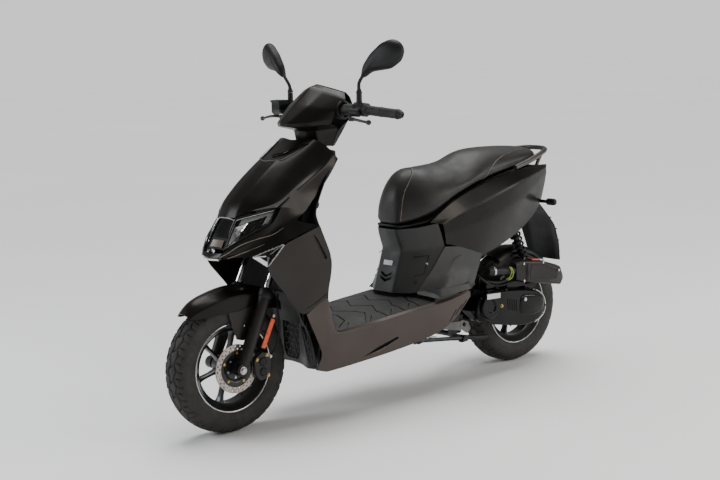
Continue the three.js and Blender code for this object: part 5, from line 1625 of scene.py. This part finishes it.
        c, s = math.cos(a), math.sin(a)
        vanes.append(rod((-121, 408 + 38 * c, 262 + 38 * s), (-121, 408 + 56 * c, 262 + 56 * s), 1.8, 8))
    build("fan_grille", vanes, BLACK, "engine")
    hugger_rows = []
    for degrees in (62, 80, 98, 116, 134):
        a = math.radians(degrees)

        def spot(radius, x, a=a):
            return (x, REAR_AXLE.y - radius * math.cos(a), REAR_AXLE.z + radius * math.sin(a))
        hugger_rows.append([spot(229, 0), spot(226, 32), spot(216, 48), spot(202, 54)])
    shell("hugger", both_sides(hugger_rows), REAR_AXLE, BLACK, "engine", ["rear_hugger"], 3,
          0.2, (), (2, 4), 3)
    finish_node("rear_axle", ZINC)


def suspension():
    """The rear shock: its coil, body and rod."""
    top, low = Vector((76, 606, 530)), Vector((78, 684, 330))

    def at(t):
        return top.lerp(low, t)
    axis = (low - top).normalized()
    u = axis.orthogonal().normalized()
    v = axis.cross(u)
    turns, start, end = 7, 0.125, 0.80
    path = []
    for i in range(turns * 22 + 1):
        share = i / (turns * 22)
        a = 2 * math.pi * turns * share
        path.append(at(start + (end - start) * share) + (u * math.cos(a) + v * math.sin(a)) * 18.6)
    spring = build("shock_coil", [tube(path, 3.9, 12, 0)], BLACK, "shock_top",
                   ["shock_spring"], 60)
    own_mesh(spring)
    body = [stack(at(0.05), at(0.58), [(0, 9), (0.03, 12), (0.97, 12), (1, 10)], 32),
            stack(at(0.068), at(0.102), [(0, 18), (0.3, 21), (0.8, 21), (1, 18)], 40)]
    eyes = [turned([(5, -9), (13, -9), (13.4, 0), (13, 9), (5, 9)], top, 36)]
    build("shock_body", [*body, *eyes], FRAME, "shock_top", ["shock_upper"], 35, 0.5)
    rod_parts = [stack(at(0.59), at(0.94), [(0, 6.4), (1, 6.4)], 28),
                 stack(at(0.818), at(0.853), [(0, 18), (0.3, 21), (0.8, 21), (1, 18)], 40)]
    build("shock_rod", [*rod_parts, turned([(8.5, -9), (14, -9), (14, 9), (8.5, 9)], low, 36)], CHROME,
          "shock_bottom", ["shock_lower"], 35, 0.4)


def exhaust_and_stands():
    """Muffler and pipe on the right, both stands, and the bracket the engine hangs from."""
    can = []
    for centre, wide, high, lean in (((-130, 500, 208), 24, 26, 0), ((-131, 516, 216), 34, 42, -5),
                                     ((-132, 542, 229), 39, 49, -8), ((-134, 700, 278), 39.5, 49.5, -11),
                                  ((-134, 764, 297), 39, 49, -12), ((-134, 792, 306), 35, 44, -11),
                                     ((-134, 814, 313), 28, 34, -10)):
        can.append(circle(centre, (wide, 0, 0), (0, lean, high), 40))
    build("muffler_can", [loft(can)], FRAME, "engine", ["muffler"], 40, 1)
    pipe = [(-34, 290, 221), (-44, 290, 204), (-72, 292, 186), (-108, 340, 164), (-130, 430, 166),
            (-130, 504, 208)]
    build("exhaust_pipe", [tube(pipe, (12, 12.6, 13), 20, 10)], FORK, "engine")
    tip = stack((-134, 808, 322), (-134, 846, 330), [(0, 12), (0.9, 12), (1, 12.8), (1, 10), (0.2, 9.6)], 28)
    build("exhaust_tip", [tip], CHROME, "engine", (), 30)
    arc = [math.radians(d) for d in range(-44, 50, 8)]
    guard = [[(-134 - 42.5 * math.cos(a), 560 + 190 * t, 240 + 56 * t + 46 * math.sin(a)) for a in arc]
             for t in [i / 8 for i in range(9)]]

    def guard_part(bm):
        """An open sheet, which Solidify makes thick."""
        made = [[bm.verts.new(p) for p in row] for row in guard]
        for a, b in zip(made, made[1:]):
            for j in range(len(a) - 1):
                bm.faces.new((a[j], b[j], b[j + 1], a[j + 1]))
    heat = build("muffler_guard", [guard_part], CASTING, "engine", (), 60)
    thick = heat.modifiers.new("Solidify", "SOLIDIFY")
    thick.thickness = 0.0018
    thick.offset = 0
    build("guard_screws", [bolt((-177, y, z), (-1, 0, 0), 4.4, 3) for y, z in ((578, 245), (728, 290))], ZINC,
          "engine")
    finish_node("side_stand", FRAME)
    finish_node("centre_stand", FRAME)
    spring = []
    for i in range(101):
        t = i / 100
        a = 2 * math.pi * 14 * t
        p = Vector((104, 98, 205)).lerp(Vector((110, 176, 180)), t)
        spring.append(p + Vector((math.cos(a) * 5, 0, math.sin(a) * 5)))
    build("stand_spring", [tube(spring, 1.1, 6, 0)], ZINC, "chassis")
    hanger = [slab(rounded([(302, 226), (338, 214), (352, 184), (330, 170), (296, 196)], 8), 99, 103),
              slab(rounded([(196, 226), (304, 220), (304, 184), (196, 208)], 5), 99, 102)]
    build("engine_hanger", hanger, CASTING, "chassis", (), 35, 0.8)
    build("hanger_bolts", [bolt((103, 318, 206), (1, 0, 0), 6, 5), bolt((98, 318, 300), (1, 0, 0), 7, 5),
                           bolt((102, 214, 212), (1, 0, 0), 4.6, 4)], FORK,
          "chassis")


engine()
suspension()
exhaust_and_stands()


# ------------------------------------------------------------------ floor, light and camera
def lamp(name, at, target, size, energy, colour=(1, 1, 1), height=None):
    """A soft area light, aimed at a target."""
    data = bpy.data.lights.new(name, "AREA")
    data.energy, data.size, data.color = energy, size, colour
    if height:
        data.shape, data.size_y = "RECTANGLE", height
    obj = bpy.data.objects.new(name, data)
    bpy.context.scene.collection.objects.link(obj)
    obj.location = at
    obj.rotation_mode = "QUATERNION"
    obj.rotation_quaternion = (Vector(target) - Vector(at)).to_track_quat("-Z", "Y")


def stage():
    """A pale floor under a sky that is white at the horizon, a broad sun and three soft lamps."""
    nodes = Nodes("studio_floor")
    nodes.into("Base Color", nodes.blend(nodes.noise(0.6), (0.90, 0.90, 0.90), (0.93, 0.93, 0.93)))
    nodes.into("Roughness", 0.9)
    mesh = bpy.data.meshes.new("floor")
    reach = 30.0  # metres
    mesh.from_pydata([(-reach, -reach, 0), (reach, -reach, 0), (reach, reach, 0), (-reach, reach, 0)], [],
                     [(0, 1, 2, 3)])
    floor = bpy.data.objects.new("floor", mesh)
    bpy.context.scene.collection.objects.link(floor)
    mesh.materials.append(nodes.material)
    world = bpy.data.worlds.new("studio")
    bpy.context.scene.world = world
    world.use_nodes = True
    tree = world.node_tree
    height = tree.nodes.new("ShaderNodeSeparateXYZ")
    tree.links.new(tree.nodes.new("ShaderNodeTexCoord").outputs["Generated"], height.inputs["Vector"])
    ramp = tree.nodes.new("ShaderNodeValToRGB")
    steps = ramp.color_ramp.elements
    steps[0].position, steps[0].color = 0.03, (0.98, 0.98, 0.98, 1)
    steps[1].position, steps[1].color = 0.07, (0.45, 0.45, 0.45, 1)
    top = steps.new(0.35)
    top.color = (0.20, 0.20, 0.20, 1)
    tree.links.new(height.outputs["Z"], ramp.inputs["Fac"])
    tree.links.new(ramp.outputs["Color"], tree.nodes["Background"].inputs["Color"])
    data = bpy.data.lights.new("sky_panel", "SUN")
    data.energy, data.angle = 2.9, math.radians(50)
    sun = bpy.data.objects.new("sky_panel", data)
    bpy.context.scene.collection.objects.link(sun)
    sun.rotation_euler = (math.radians(-14), math.radians(-12), 0)
    lamp("side", (3.4, 1.5, 2.0), (0, -0.3, 0.7), 1.5, 46, (1.0, 0.94, 0.84))
    lamp("edge", (-1.8, -3.0, 1.8), (0, -0.4, 0.7), 1.2, 45, (0.92, 0.97, 1.0))
    lamp("tail", (2.2, 3.2, 1.6), (0, 0.5, 0.6), 1.0, 30, (0.92, 0.97, 1.0))


def camera():
    """The camera stands ahead and to the rider's left, just above the height of the mirrors."""
    azimuth, elevation, roll = (math.radians(d) for d in (50.67, 8.62, -2.32))
    place_at, lens, sensor = (3.6745, -3.0827, 1.2769), 69.03, 36
    back = Vector((math.sin(azimuth) * math.cos(elevation), -math.cos(azimuth) * math.cos(elevation),
                   math.sin(elevation)))
    right = Vector((0, 0, 1)).cross(back).normalized()
    up = back.cross(right)
    across = right * math.cos(roll) + up * math.sin(roll)
    above = up * math.cos(roll) - right * math.sin(roll)
    data = bpy.data.cameras.new("camera")
    data.lens, data.sensor_width = lens, sensor
    obj = bpy.data.objects.new("camera", data)
    bpy.context.scene.collection.objects.link(obj)
    turn = Matrix((across, above, back)).transposed().to_4x4()
    obj.matrix_world = Matrix.Translation(place_at) @ turn
    bpy.context.scene.camera = obj


stage()
camera()
